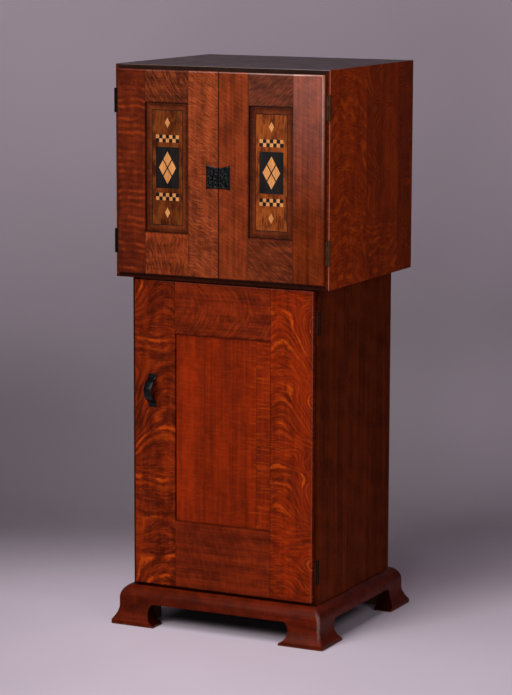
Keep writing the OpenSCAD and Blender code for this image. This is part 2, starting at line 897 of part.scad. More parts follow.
module door_seals() {
  color("#2c2a28") {
    seal_ring(upper_hx, upper_lf, upper_l0, upper_l1);
    seal_ring(lower_hx, lower_lf, lower_l0, lower_l1);
  }
}

module ice_rack() {
  pitch = (2 * rack_x - slat_w) / (slat_n - 1);
  color("#b08a58") {
    for (y = [rack_yf + 50, rack_yb - 50]) {
      box([-rack_x, y - bearer_w / 2, upper_l0], [rack_x, y + bearer_w / 2, upper_l0 + bearer_h]);
    }
    for (i = [0 : slat_n - 1]) {
      box([-rack_x + i * pitch, rack_yf, upper_l0 + bearer_h + hair],
        [-rack_x + i * pitch + slat_w, rack_yb, upper_l0 + bearer_h + slat_t]);
    }
  }
}

module drain_pipe() {
  color("#9a9ea2") translate([pipe_x, pipe_y, 0]) difference() {
    union() {
      translate([0, 0, pipe_end]) cylinder(h = upper_l0 - pipe_end + pipe_wall, r = pipe_r);
      translate([0, 0, upper_l0]) cylinder(h = pipe_wall, r = pipe_flange);
    }
    translate([0, 0, pipe_end - eps])
      cylinder(h = upper_l0 - pipe_end + pipe_wall + 2 * eps, r = pipe_r - pipe_wall);
  }
}

module drip_pan() {
  top = lower_l0 + pan_h;
  color("#8f9498") difference() {
    union() {
      box([-pan_x, pan_yf, lower_l0], [pan_x, pan_yb, top]);
      box([-pan_x - pan_rim, pan_yf - pan_rim, top - pan_wall], [pan_x + pan_rim, pan_yb + pan_rim, top]);
    }
    box([pan_wall - pan_x, pan_yf + pan_wall, lower_l0 + pan_wall],
      [pan_x - pan_wall, pan_yb - pan_wall, top + eps]);
  }
}

module shelf_cleats() {
  color("#a9adb0") {
    for (z = shelf_z) {
      for (s = [-1, 1]) {
        box([min(s * lower_hx, s * (lower_hx - cleat)), shelf_yf - 8, z - cleat],
          [max(s * lower_hx, s * (lower_hx - cleat)), shelf_yb + 8, z]);
      }
    }
  }
}

module low_shelf() {
  color("#b4b7b8") shelf(shelf_z[0]);
}

module high_shelf() {
  color("#b4b7b8") shelf(shelf_z[1]);
}

// Hinge pieces fixed to the case

module case_hinge_leaves() {
  color("#262320") difference() {
    union() {
      at_right_hinges() leaf(1, 0);
      at_left_hinges() leaf(1, 0);
      at_lower_hinges() leaf(1, 0);
    }
    case_screw_set();
  }
}

module hinge_pins() {
  color("#3a3632") {
    at_right_hinges() pin();
    at_left_hinges() pin();
    at_lower_hinges() pin();
  }
}

module case_screws() {
  color("#4a4540") case_screw_set();
}

// Left door

module left_door_hinge_stile() {
  color("#7a3a1c") difference() {
    stile(left_door, false);
    at_left_hinges() door_hinge_cut();
    left_fixing_set();
  }
}

module left_door_meeting_stile() {
  color("#7a3a1c") difference() {
    stile(left_door, true);
    flush_guide();
    left_fixing_set();
  }
}

module left_door_top_rail() {
  color("#6e3319") rail(left_door, true);
}

module left_door_bottom_rail() {
  color("#6e3319") rail(left_door, false);
}

module left_door_panel() {
  color("#8a5228") difference() {
    panel(left_door);
    inlaid(-1, eps) pocket_outline();
  }
}

module left_dark_inlay() {
  color("#17120f") inlaid(-1, 0) dark_outline();
}

module left_light_inlay() {
  color("#c9a05c") inlaid(-1, 0) light_outline();
}

module left_latch_plate() {
  color("#1f1c1b") difference() {
    mirror([1, 0, 0]) half_plate();
    left_fixing_set();
  }
}

module left_hinge_leaves() {
  color("#262320") difference() {
    at_left_hinges() leaf(-1, 1);
    left_fixing_set();
  }
}

module left_door_fixings() {
  color("#2b2725") left_fixing_set();
}

module flush_bolt() {
  color("#8c7440") {
    flush_rod(flush_r, 0);
    box([flush_x, flush_y - thumb_t / 2, flush_z0 + flush_len - thumb],
      [-pair_gap / 2 - eps, flush_y + thumb_t / 2, flush_z0 + flush_len]);
  }
}

// Right door

module right_door_hinge_stile() {
  color("#7a3a1c") difference() {
    stile(right_door, true);
    at_right_hinges() door_hinge_cut();
    right_fixing_set();
  }
}

module right_door_meeting_stile() {
  color("#7a3a1c") difference() {
    stile(right_door, false);
    keyhole();
    right_fixing_set();
  }
}

module right_door_top_rail() {
  color("#6e3319") rail(right_door, true);
}

module right_door_bottom_rail() {
  color("#6e3319") rail(right_door, false);
}

module right_door_panel() {
  color("#8a5228") difference() {
    panel(right_door);
    inlaid(1, eps) pocket_outline();
  }
}

module right_dark_inlay() {
  color("#17120f") inlaid(1, 0) dark_outline();
}

module right_light_inlay() {
  color("#c9a05c") inlaid(1, 0) light_outline();
}

module right_latch_plate() {
  color("#1f1c1b") difference() {
    half_plate();
    keyhole();
    right_fixing_set();
  }
}

module right_hinge_leaves() {
  color("#262320") difference() {
    at_right_hinges() leaf(-1, 1);
    right_fixing_set();
  }
}

module right_door_fixings() {
  color("#2b2725") right_fixing_set();
}

module lock_case() {
  g = slide_gap;
  color("#8c7440") difference() {
    box([lock_x, lock_y, latch_z - lock_h / 2], [lock_x + lock_w, lock_y + lock_t, latch_z + lock_h / 2]);
    box([lock_x - eps, lock_y + lock_wall, latch_z - bolt_h / 2 - g],
      [lock_x + bolt_len + 4, lock_y + lock_t - lock_wall, latch_z + bolt_h / 2 + g]);
    right_fixing_set();
  }
}

module lock_bolt() {
  y0 = lock_y + lock_wall + slide_gap;
  color("#b39a58") box([lock_x + 0.5, y0, latch_z - bolt_h / 2],
    [lock_x + bolt_len, y0 + bolt_t, latch_z + bolt_h / 2]);
}

// Lower door

module lower_door_hinge_stile() {
  color("#a4481c") difference() {
    stile(lower_door, true);
    at_lower_hinges() door_hinge_cut();
    lower_fixing_set();
  }
}

module lower_door_free_stile() {
  color("#a4481c") difference() {
    stile(lower_door, false);
    rod_x([-(lower_x - board), ball_y, ball_z], step_gap + barrel_len, barrel_r);
    lower_fixing_set();
  }
}

module lower_door_top_rail() {
  color("#96401a") rail(lower_door, true);
}

module lower_door_bottom_rail() {
  color("#96401a") rail(lower_door, false);
}

module lower_door_panel() {
  color("#99401a") panel(lower_door);
}

module lower_hinge_leaves() {
  color("#262320") difference() {
    at_lower_hinges() leaf(-1, 1);
    lower_fixing_set();
  }
}

module lower_door_fixings() {
  color("#2b2725") lower_fixing_set();
}

module pull_handle() {
  r = pull_bow / 2;
  color("#1f1c1b") difference() {
    union() {
      rod_x([pull_x - pull_w / 2, lower_face, pull_z], pull_w, r + pull_t / 2);
      box([pull_x - pull_w / 2, lower_face - pull_t, pull_z - r - pull_foot],
        [pull_x + pull_w / 2, lower_face, pull_z + r + pull_foot]);
    }
    rod_x([pull_x - pull_w, lower_face, pull_z], 2 * pull_w, r - pull_t / 2);
    box([pull_x - pull_w, lower_face, pull_z - 2 * r], [pull_x + pull_w, lower_face + 2 * r, pull_z + 2 * r]);
    lower_fixing_set();
  }
}

module catch_barrel() {
  x0 = -(lower_x - board - step_gap);
  color("#8c7440") difference() {
    rod_x([x0, ball_y, ball_z], barrel_len, barrel_r);
    rod_x([x0 - eps, ball_y, ball_z], ball_bore + eps, ball_r + 0.1);
  }
}

module catch_ball() {
  color("#c9c9c9") translate([ball_x, ball_y, ball_z]) sphere(r = ball_r);
}

plinth_front();
plinth_back();
plinth_sides();
corner_blocks();
lower_left_side();
lower_right_side();
lower_floor();
lower_top();
lower_back();
upper_left_side();
upper_right_side();
upper_floor();
upper_top();
upper_back();
cork_slabs();
ice_liner();
food_liner();
door_seals();
ice_rack();
drain_pipe();
drip_pan();
shelf_cleats();
low_shelf();
high_shelf();
case_hinge_leaves();
hinge_pins();
case_screws();
left_door_hinge_stile();
left_door_meeting_stile();
left_door_top_rail();
left_door_bottom_rail();
left_door_panel();
left_dark_inlay();
left_light_inlay();
left_latch_plate();
left_hinge_leaves();
left_door_fixings();
flush_bolt();
right_door_hinge_stile();
right_door_meeting_stile();
right_door_top_rail();
right_door_bottom_rail();
right_door_panel();
right_dark_inlay();
right_light_inlay();
right_latch_plate();
right_hinge_leaves();
right_door_fixings();
lock_case();
lock_bolt();
lower_door_hinge_stile();
lower_door_free_stile();
lower_door_top_rail();
lower_door_bottom_rail();
lower_door_panel();
lower_hinge_leaves();
lower_door_fixings();
pull_handle();
catch_barrel();
catch_ball();
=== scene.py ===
import json
import math
import random

import bmesh
import bpy
from mathutils import Matrix, Vector

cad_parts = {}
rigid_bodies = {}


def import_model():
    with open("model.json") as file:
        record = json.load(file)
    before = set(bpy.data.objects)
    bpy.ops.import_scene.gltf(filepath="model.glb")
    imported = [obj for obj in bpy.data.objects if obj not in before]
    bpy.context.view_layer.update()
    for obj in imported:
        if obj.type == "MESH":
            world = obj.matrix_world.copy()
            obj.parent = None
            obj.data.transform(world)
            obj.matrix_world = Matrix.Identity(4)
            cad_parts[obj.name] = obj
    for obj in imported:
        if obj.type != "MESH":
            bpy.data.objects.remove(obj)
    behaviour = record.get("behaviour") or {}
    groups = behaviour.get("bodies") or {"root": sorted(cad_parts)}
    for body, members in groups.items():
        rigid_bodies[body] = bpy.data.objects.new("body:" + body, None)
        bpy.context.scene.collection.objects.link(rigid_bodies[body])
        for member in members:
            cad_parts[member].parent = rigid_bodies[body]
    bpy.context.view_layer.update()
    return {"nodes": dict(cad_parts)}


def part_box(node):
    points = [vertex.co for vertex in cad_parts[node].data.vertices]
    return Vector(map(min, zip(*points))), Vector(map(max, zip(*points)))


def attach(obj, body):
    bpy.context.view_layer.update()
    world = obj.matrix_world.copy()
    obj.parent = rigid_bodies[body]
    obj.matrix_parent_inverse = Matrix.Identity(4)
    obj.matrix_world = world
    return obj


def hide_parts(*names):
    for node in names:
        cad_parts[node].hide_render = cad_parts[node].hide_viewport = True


for old in list(bpy.data.objects):
    bpy.data.objects.remove(old)

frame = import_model()
nodes = frame["nodes"]
scene = bpy.context.scene
MM = 0.001
WELD = 0.00002  # vertices of a CAD mesh closer than this are one, in metres
BEVEL_ANGLE = 42  # edges sharper than this are softened, in degrees


# Node helpers


def put(tree, sock, value):
    if isinstance(value, bpy.types.NodeSocket):
        tree.links.new(value, sock)
    else:
        sock.default_value = value


def math_node(tree, op, a, b=0.0, clamp=False):
    n = tree.nodes.new("ShaderNodeMath")
    n.operation = op
    n.use_clamp = clamp
    put(tree, n.inputs[0], a)
    put(tree, n.inputs[1], b)
    return n.outputs[0]


def mul(tree, a, b, clamp=False):
    return math_node(tree, "MULTIPLY", a, b, clamp)


def add(tree, a, b, clamp=False):
    return math_node(tree, "ADD", a, b, clamp)


def sub(tree, a, b):
    return math_node(tree, "SUBTRACT", a, b)


def absolute(tree, a):
    return math_node(tree, "ABSOLUTE", a)


def noise_node(tree, vec, scale, detail, rough):
    n = tree.nodes.new("ShaderNodeTexNoise")
    for key, value in (("Vector", vec), ("Scale", scale), ("Detail", detail), ("Roughness", rough)):
        put(tree, n.inputs[key], value)
    return n.outputs[0]


def smooth(tree, x, lo, hi, out_lo=0.0, out_hi=1.0):
    """Smooth step from out_lo, where x is lo, to out_hi, where it is hi."""
    n = tree.nodes.new("ShaderNodeMapRange")
    n.interpolation_type = "SMOOTHSTEP"
    ends = {"Value": x, "From Min": lo, "From Max": hi, "To Min": out_lo, "To Max": out_hi}
    for key, value in ends.items():
        put(tree, n.inputs[key], value)
    return n.outputs[0]


def mix_color(tree, fac, a, b, blend="MIX"):
    n = tree.nodes.new("ShaderNodeMix")
    n.data_type = "RGBA"
    n.blend_type = blend
    put(tree, n.inputs[0], fac)
    put(tree, n.inputs[6], a)
    put(tree, n.inputs[7], b)
    return n.outputs[2]


def combine(tree, x, y, z):
    n = tree.nodes.new("ShaderNodeCombineXYZ")
    for s, v in zip(n.inputs, (x, y, z)):
        put(tree, s, v)
    return n.outputs[0]


def split(tree, vec):
    n = tree.nodes.new("ShaderNodeSeparateXYZ")
    put(tree, n.inputs[0], vec)
    return n.outputs


def scaled(tree, parts, factors):
    return combine(tree, *[mul(tree, p, f) for p, f in zip(parts, factors)])


def grain(tree, parts, factors, detail, rough):
    """Noise that is stretched: factors in cycles per millimetre along each part."""
    return noise_node(tree, scaled(tree, parts, factors), 1.0, detail, rough)


def dimmed(tree, color, keep):
    return mix_color(tree, 1.0, color, combine(tree, keep, keep, keep), "MULTIPLY")


def lot(tree, number):
    """A random value for each whole number."""
    n = tree.nodes.new("ShaderNodeTexWhiteNoise")
    n.noise_dimensions = "1D"
    put(tree, n.inputs["W"], math_node(tree, "FLOOR", number))
    return n.outputs["Value"]


def coords_mm(tree):
    """Place in the row frame at rest, in millimetres, as X, Y and Z."""
    n = tree.nodes.new("ShaderNodeTexCoord")
    s = tree.nodes.new("ShaderNodeVectorMath")
    s.operation = "SCALE"
    s.inputs["Scale"].default_value = 1000.0
    tree.links.new(n.outputs["Object"], s.inputs[0])
    return split(tree, s.outputs[0])


def new_material(name):
    m = bpy.data.materials.new(name)
    m.use_nodes = True
    t = m.node_tree
    t.nodes.clear()
    out = t.nodes.new("ShaderNodeOutputMaterial")
    bsdf = t.nodes.new("ShaderNodeBsdfPrincipled")
    t.links.new(bsdf.outputs[0], out.inputs[0])
    return m, t, bsdf


def bump(tree, bsdf, height, strength, distance):
    n = tree.nodes.new("ShaderNodeBump")
    n.inputs["Strength"].default_value = strength
    n.inputs["Distance"].default_value = distance
    tree.links.new(height, n.inputs["Height"])
    tree.links.new(n.outputs[0], bsdf.inputs["Normal"])


def surface(tree, bsdf, color, rough, level=0.5):
    """Colour, roughness and specular level: each is a socket or a value."""
    for key, value in (("Base Color", color), ("Roughness", rough), ("Specular IOR Level", level)):
        put(tree, bsdf.inputs[key], value)


def rgb(c):
    return (c[0], c[1], c[2], 1.0)


# Quartersawn oak: fine grain along the board, pores, and ray flake across it
PORE, HOLLOW = (0.012, 0.003, 0.001, 1.0), (0.016, 0.003, 0.001, 1.0)
# arris pale (rubbing, painted highlight), painted arris shade, top grey (dusty, painted reflection)
PALE_WEAR_HIGHLIGHT, SHADE_TONE, DUST_AND_REFLECTION = (0.50, 0.24, 0.175, 1.0), (0.010, 0.003, 0.002, 1.0), (0.020, 0.0100, 0.0085, 1.0)
OAK_BUMP = (0.25, 0.0003)  # strength and distance
FLAKE_REACH = 1000.0  # bold flake fades this far from its peak, in mm
TONE_INPUTS = ("Dark", "Mid", "Flake")
FIGURE = dict(
    spacing=30, tilt=0.3, warp=1.6, reach=0.014, width=0.4, patch=0.4, amount=0.7, fine=0.35, ground=0.05,
    mottle=0.25, arch=0.0, peak=0.0, stroke=0.22, crowd=0.0, rag=0.5,
)


def band_course(g, gi, p):
    """Place along the board as the bands lean and arch, how they bend, and the way from their peak."""
    u, v, _ = p
    around = scaled(g, [mul(g, c, gi["Reach"]) for c in p], (1.0, 0.6, 1.0))
    bend = mul(g, sub(g, noise_node(g, around, 1.0, 2.5, 0.48), 0.5), gi["Warp"])
    off = sub(g, u, gi["Peak"])
    sway = grain(g, p, (0.002, 0.009, 0.002), 1.0, 0.5)
    arch = mul(g, gi["Arch"], smooth(g, sway, 0.3, 0.7, -0.3, 1.7))
    lean = add(g, v, mul(g, u, gi["Tilt"]))
    return add(g, lean, mul(g, mul(g, off, off), arch)), bend, off


def bold_flake(g, gi, p, line, bend, off):
    """Bands of uneven width, broken into patches; and tri, 1 in the middle of a band and 0 between two."""
    rag = grain(g, p, (0.10, 0.24, 0.10), 3.0, 0.6)
    crowd = grain(g, p, (0.006, 0.014, 0.006), 2.0, 0.5)
    t = add(g, math_node(g, "DIVIDE", line, gi["Spacing"]), bend)
    t = add(g, t, mul(g, crowd, gi["Crowd"]))
    tri = mul(g, absolute(g, sub(g, math_node(g, "FRACT", t), 0.5)), 2.0)
    tri = add(g, tri, mul(g, sub(g, rag, 0.5), gi["Rag"]))
    thick = grain(g, p, (0.035, 0.02, 0.035), 1.0, 0.5)
    edge = sub(g, 1.0, mul(g, gi["Width"], add(g, 0.45, mul(g, thick, 1.1))))
    bold = smooth(g, tri, sub(g, edge, 0.28), add(g, edge, 0.42))
    patch = grain(g, p, (0.03, 0.014, 0.03), 2.0, 0.5)
    bold = mul(g, bold, smooth(g, patch, gi["Patch"], add(g, gi["Patch"], 0.16)))
    bold = mul(g, bold, smooth(g, lot(g, add(g, t, 0.5)), 0.2, 0.8))
    reach = math_node(g, "DIVIDE", absolute(g, off), FLAKE_REACH)
    bold = mul(g, bold, smooth(g, reach, 0.6, 1.4, 1.0, 0.3))
    return mul(g, bold, gi["Amount"]), tri


def fine_flake(g, gi, p, line, bend):
    """Noise in short strokes that lie along the bands."""
    u, v, w = p
    norm = math_node(g, "SQRT", add(g, 1.0, mul(g, gi["Tilt"], gi["Tilt"])))
    drift = mul(g, mul(g, bend, gi["Spacing"]), 0.5)
    cross = mul(g, math_node(g, "DIVIDE", add(g, line, drift), norm), gi["Stroke"])
    run = math_node(g, "DIVIDE", sub(g, u, mul(g, v, gi["Tilt"])), norm)
    return grain(g, (cross, run, w), (1.0, 0.045, 0.05), 2.0, 0.55)


def build_oak_group():
    g = bpy.data.node_groups.new("oak", "ShaderNodeTree")
    face = g.interface
    face.new_socket("Vector", in_out="INPUT", socket_type="NodeSocketVector")
    for name in TONE_INPUTS:
        face.new_socket(name, in_out="INPUT", socket_type="NodeSocketColor")
    for name in FIGURE:
        face.new_socket(name.capitalize(), in_out="INPUT", socket_type="NodeSocketFloat")
    for name, kind in (("Color", "Color"), ("Gloss", "Float"), ("Height", "Float")):
        face.new_socket(name, in_out="OUTPUT", socket_type="NodeSocket" + kind)
    gi = g.nodes.new("NodeGroupInput").outputs
    go = g.nodes.new("NodeGroupOutput").inputs
    p = split(g, gi["Vector"])
    line, bend, off = band_course(g, gi, p)
    bold, tri = bold_flake(g, gi, p, line, bend, off)
    fleck = fine_flake(g, gi, p, line, bend)
    hair = grain(g, p, (0.75, 0.012, 0.75), 3.0, 0.6)
    ribbon = grain(g, p, (0.13, 0.0035, 0.13), 2.0, 0.55)
    tone = grain(g, p, (0.026, 0.0022, 0.026), 1.0, 0.5)
    cloud = grain(g, p, (0.018, 0.012, 0.018), 2.0, 0.5)
    mix = mul(g, ribbon, 0.34)
    for part, share in ((tone, 0.26), (hair, 0.16), (cloud, 0.24)):
        mix = add(g, mix, mul(g, part, share))
    # the ground is darker between the bands
    mix = add(g, mix, mul(g, sub(g, tri, 0.5), gi["Ground"]))
    base = mix_color(g, smooth(g, mix, 0.37, 0.63), gi["Dark"], gi["Mid"])
    flake = add(g, bold, mul(g, smooth(g, fleck, 0.50, 0.68), gi["Fine"]), clamp=True)
    flake = mul(g, flake, add(g, 0.62, mul(g, hair, 0.76)), clamp=True)
    pore = smooth(g, grain(g, p, (1.5, 0.07, 1.5), 1.0, 0.5), 0.56, 0.74)
    pore = mul(g, pore, sub(g, 1.0, mul(g, flake, 0.7)))
    hollow = mul(g, smooth(g, fleck, 0.50, 0.34), mul(g, gi["Fine"], 0.85), clamp=True)
    base = mix_color(g, hollow, base, HOLLOW)
    color = mix_color(g, flake, base, gi["Flake"])
    color = mix_color(g, mul(g, pore, 0.36), color, PORE)
    shade = grain(g, p, (0.045, 0.020, 0.045), 3.0, 0.55)
    shade = mul(g, smooth(g, shade, 0.42, 0.66), gi["Mottle"])
    g.links.new(dimmed(g, color, sub(g, 1.0, shade)), go["Color"])
    g.links.new(flake, go["Gloss"])
    h = sub(g, mul(g, hair, 0.35), pore)
    g.links.new(add(g, h, mul(g, flake, 0.15)), go["Height"])
    return g


OAK = build_oak_group()
SEED_STEP = (137.3, 311.9, 71.7)  # how far a board's seed moves its figure across, along and through it
CALM_EDGE = 25  # half the height in which calm comes in, in mm
PLANK_STEP, PLANK_MORE, PLANK_DEEP = 517.0, 90.0, 60.0  # how far the figure jumps at a joint of planks, in mm


def oak_figure(tree, vec, tones, **sizes):
    """The oak group as a node. tones: dark, mid and flake; sizes: its inputs that aren't as in FIGURE."""
    n = tree.nodes.new("ShaderNodeGroup")
    n.node_tree = OAK
    tree.links.new(vec, n.inputs["Vector"])
    for key, color in zip(TONE_INPUTS, tones):
        n.inputs[key].default_value = rgb(color)
    for key, value in (FIGURE | sizes).items():
        n.inputs[key.capitalize()].default_value = value
    return n


def plank_gain(t, place, moved, cuts, gains):
    """Moves the figure at each joint of planks, and gives each strip its gain, with dark joints."""
    gain, seam = gains[0], None
    for k, cut in enumerate(cuts):
        past = math_node(t, "GREATER_THAN", place, cut)
        moved[1] = add(t, moved[1], mul(t, past, PLANK_STEP + PLANK_MORE * k))
        moved[2] = add(t, moved[2], mul(t, past, PLANK_DEEP))
        gain = add(t, gain, mul(t, past, gains[k + 1] - gains[k]))
        off = absolute(t, sub(t, place, cut))
        seam = off if seam is None else math_node(t, "MINIMUM", seam, off)
    return mul(t, gain, smooth(t, seam, 0.2, 1.2, 0.72, 1.0))


def calm_keep(t, height, low, high):
    """Share of the bands that is left, by height."""
    rest = mul(t, smooth(t, height, low - CALM_EDGE, low + CALM_EDGE),
               smooth(t, height, high - CALM_EDGE, high + CALM_EDGE, 1.0, 0.0))
    return sub(t, 1.0, mul(t, rest, 0.75))


def dash_marks(t, across, along, moved, place, pitch, amount):
    """Short flecks in rows, past an uneven line across the board."""
    sway = grain(t, moved, (0.003, 0.04, 0.003), 3.0, 0.55)
    row = add(t, math_node(t, "DIVIDE", along, pitch), mul(t, sway, 4.0))
    start = add(t, place, mul(t, lot(t, row), 52.0))
    past = smooth(t, sub(t, across, start), 0.0, 16.0)
    line = absolute(t, sub(t, math_node(t, "FRACT", row), 0.5))
    dash = mul(t, past, smooth(t, line, 0.02, 0.30, amount, 0.0))
    blot = grain(t, moved, (0.035, 0.05, 0.035), 3.0, 0.6)
    return mul(t, dash, smooth(t, blot, 0.34, 0.66))


def joint_and_shade_gain(t, xyz, vec, joints):
    """A ragged dark line along the joints, partly painted shade in the seams and the panel's recess."""
    near = None
    for i, at, side in joints:
        d = mul(t, sub(t, xyz[i], at), side)
        near = d if near is None else math_node(t, "MINIMUM", near, d)
    near = sub(t, near, mul(t, noise_node(t, vec, 0.09, 2.0, 0.6), 1.6))
    return smooth(t, near, -0.6, 2.2, 0.55, 1.0)


def on_arris(t, own):
    """1 where the surface turns from one face to the next, 0 on a face."""
    flat = math_node(t, "MAXIMUM", absolute(t, own[0]), absolute(t, own[1]))
    flat = math_node(t, "MAXIMUM", flat, absolute(t, own[2]))
    return smooth(t, flat, 0.84, 0.985, 1.0, 0.0)


def oak(name, axes, seed, tone, rough=0.34, sheen=0.05, shine=0.95, joints=(), planks=None, dust=0.0,
        edge=1.0, dashes=None, wear=0.12, worn=None, fade=None, grime=0.75, calm=None, **figure):
    """Oak board. axes: across, along and through the board. joints: (axis, place, side) of its seams with
    others, drawn as dark lines, partly painted shade. planks: (cuts across the board, gain of each strip).
    dust: how grey a top is, dusty and with a painted reflection. edge: gain of the edge
    that faces the front. dashes: (place, pitch, amount) of short flecks past a line across the board.
    wear: how pale the lit arrises are, as rubbing and as a painted highlight;
    worn: the heights between which that highlight and the sheen come in; fade: gain
    of the colour at those heights, a painted highlight. grime: how dark the arrises to the left and
    below are, painted shade. calm: heights between which the bands are faint. figure: of the flake bands,
    spacing to rag as in FIGURE; arch and peak: how they arch, per mm, and where across the board they peak;
    crowd and rag: how uneven their spacing and their edges are."""
    m, t, bsdf = new_material(name)
    xyz = coords_mm(t)
    order = ["XYZ".index(a) for a in axes]
    across, along = xyz[order[0]], xyz[order[1]]
    moved = [add(t, xyz[i], seed * k) for i, k in zip(order, SEED_STEP)]
    keep = plank_gain(t, across, moved, *planks) if planks else 1.0
    vec = combine(t, *moved)
    figure["peak"] = figure.get("peak", 0.0) + seed * SEED_STEP[0]
    n = oak_figure(t, vec, TONES[tone], **figure)
    if calm:
        put(t, n.inputs["Amount"], mul(t, figure["amount"], calm_keep(t, xyz[2], *calm)))
    color = n.outputs["Color"]
    if dashes:
        color = mix_color(t, dash_marks(t, across, along, moved, *dashes), color, rgb(TONES[tone][2]))
    own = split(t, t.nodes.new("ShaderNodeTexCoord").outputs["Normal"])
    if joints:
        keep = mul(t, keep, joint_and_shade_gain(t, xyz, vec, joints))
    if edge != 1.0:
        keep = mul(t, keep, smooth(t, own[1], -0.97, -0.8, edge, 1.0))
    # painted highlight: the colour's gain rises with height, lighter towards the top
    if fade:
        keep = mul(t, keep, smooth(t, xyz[2], *worn, *fade))
    if planks or joints or edge != 1.0:
        color = dimmed(t, color, keep)
    # the top face is greyed: dusty, and a painted reflection of the grey studio
    if dust:
        color = mix_color(t, smooth(t, own[2], 0.6, 0.95, 0.0, dust), color, DUST_AND_REFLECTION)
    surface_noise = noise_node(t, vec, 0.02, 3.0, 0.6)
    r = add(t, rough - 0.06, mul(t, surface_noise, 0.16))
    r = sub(t, r, mul(t, n.outputs["Gloss"], 0.07))
    # arrises facing right and up: pale and shiny, rubbing and a painted highlight; the rest: painted shade
    arris_mask = on_arris(t, own)
    rise = smooth(t, xyz[2], *worn) if worn else 1.0
    lit_side = smooth(t, add(t, own[0], own[2]), -0.1, 0.35)
    # painted shade on the arrises facing left and down
    shaded_arris = mul(t, arris_mask, sub(t, 1.0, lit_side))
    color = mix_color(t, mul(t, shaded_arris, grime), color, SHADE_TONE)
    arris_mask = mul(t, arris_mask, mul(t, lit_side, rise))
    pale_wear_highlight = mul(t, arris_mask, smooth(t, surface_noise, 0.3, 0.65, wear * 0.55, wear))
    color = mix_color(t, pale_wear_highlight, color, PALE_WEAR_HIGHLIGHT)
    level = add(t, mul(t, rise, sheen), mul(t, arris_mask, shine))
    surface(t, bsdf, color, sub(t, r, mul(t, arris_mask, 0.12)), level)
    bump(t, bsdf, n.outputs["Height"], *OAK_BUMP)
    return m


def metal(name, color, rough, metallic, scale, spread, strength, distance, level=0.5, dim=None):
    """Metal with a mottled surface; scale in cycles per millimetre. dim: gain by place."""
    m, t, bsdf = new_material(name)
    xyz = coords_mm(t)
    p = combine(t, *xyz)
    a = noise_node(t, p, scale, 3.0, 0.6)
    b = noise_node(t, p, scale * 0.13, 2.0, 0.5)
    dark = tuple(c * (1 - spread) for c in color)
    light = tuple(c * (1 + spread) for c in color)
    f = add(t, mul(t, a, 0.5), mul(t, b, 0.5))
    shade = mix_color(t, smooth(t, f, 0.35, 0.65), rgb(dark), rgb(light))
    if dim:
        shade = dim(t, xyz, shade)
    surface(t, bsdf, shade, add(t, rough - 0.1, mul(t, a, 0.2)), level)
    bsdf.inputs["Metallic"].default_value = metallic
    bump(t, bsdf, a, strength, distance)
    return m


def assign(obj, mat):
    obj.data.materials.clear()
    obj.data.materials.append(mat)


def ease(obj, radius, angle=None):
    """Soften arrises, radius in mm: edges sharper than the angle or, with none given, a CAD mesh's arrises,
    where its faces part."""
    obj.modifiers.new("weld", "WELD").merge_threshold = WELD
    b = obj.modifiers.new("ease", "BEVEL")
    b.segments = 2
    b.width = radius * MM
    me = obj.data
    if angle is None:
        faces_on = {}
        for poly in me.polygons:
            for key in poly.edge_keys:
                faces_on[key] = faces_on.get(key, 0) + 1
        weights = me.attributes.new("bevel_weight_edge", "FLOAT", "EDGE")
        for e in me.edges:
            weights.data[e.index].value = 1.0 if faces_on.get(e.key, 0) == 1 else 0.0
        b.limit_method = "WEIGHT"
    else:
        b.limit_method = "ANGLE"
        b.angle_limit = math.radians(angle)
    obj.modifiers.new("flat", "WEIGHTED_NORMAL").weight = 100
    for poly in me.polygons:
        poly.use_smooth = True


# Woods: dark, mid and flake colours, linear
TONES = {
    "low": ((0.125, 0.011, 0.002), (0.24, 0.0185, 0.0018), (0.43, 0.056, 0.003)),
    "low_dark": ((0.08, 0.0083, 0.002), (0.18, 0.0165, 0.0024), (0.43, 0.053, 0.0032)),
    "low_plain": ((0.09, 0.0095, 0.0022), (0.208, 0.021, 0.0038), (0.31, 0.038, 0.005)),
    "up": ((0.08, 0.012, 0.0034), (0.205, 0.031, 0.0068), (0.38, 0.077, 0.016)),
    "up_warm": ((0.105, 0.0155, 0.0036), (0.245, 0.037, 0.0074), (0.42, 0.085, 0.017)),
    "up_red": ((0.068, 0.008, 0.0018), (0.122, 0.015, 0.003), (0.225, 0.03, 0.0045)),
    "up_gold": ((0.13, 0.021, 0.0058), (0.27, 0.047, 0.0115), (0.42, 0.095, 0.023)),
    "up_deep": ((0.046, 0.0092, 0.0032), (0.122, 0.022, 0.0066), (0.23, 0.052, 0.0145)),
    "up_dark": ((0.06, 0.0105, 0.0032), (0.165, 0.027, 0.007), (0.31, 0.064, 0.015)),
    "case": ((0.22, 0.0205, 0.0008), (0.355, 0.036, 0.0012), (0.57, 0.08, 0.0024)),
    "dim": ((0.068, 0.01, 0.0019), (0.147, 0.0204, 0.0032), (0.205, 0.029, 0.0045)),
    "top": ((0.03, 0.011, 0.007), (0.055, 0.021, 0.014), (0.08, 0.03, 0.019)),
    "panel": ((0.068, 0.0115, 0.0026), (0.14, 0.026, 0.0052), (0.22, 0.044, 0.008)),
    "base": ((0.062, 0.0058, 0.0012), (0.118, 0.0105, 0.0018), (0.18, 0.021, 0.0036)),
}
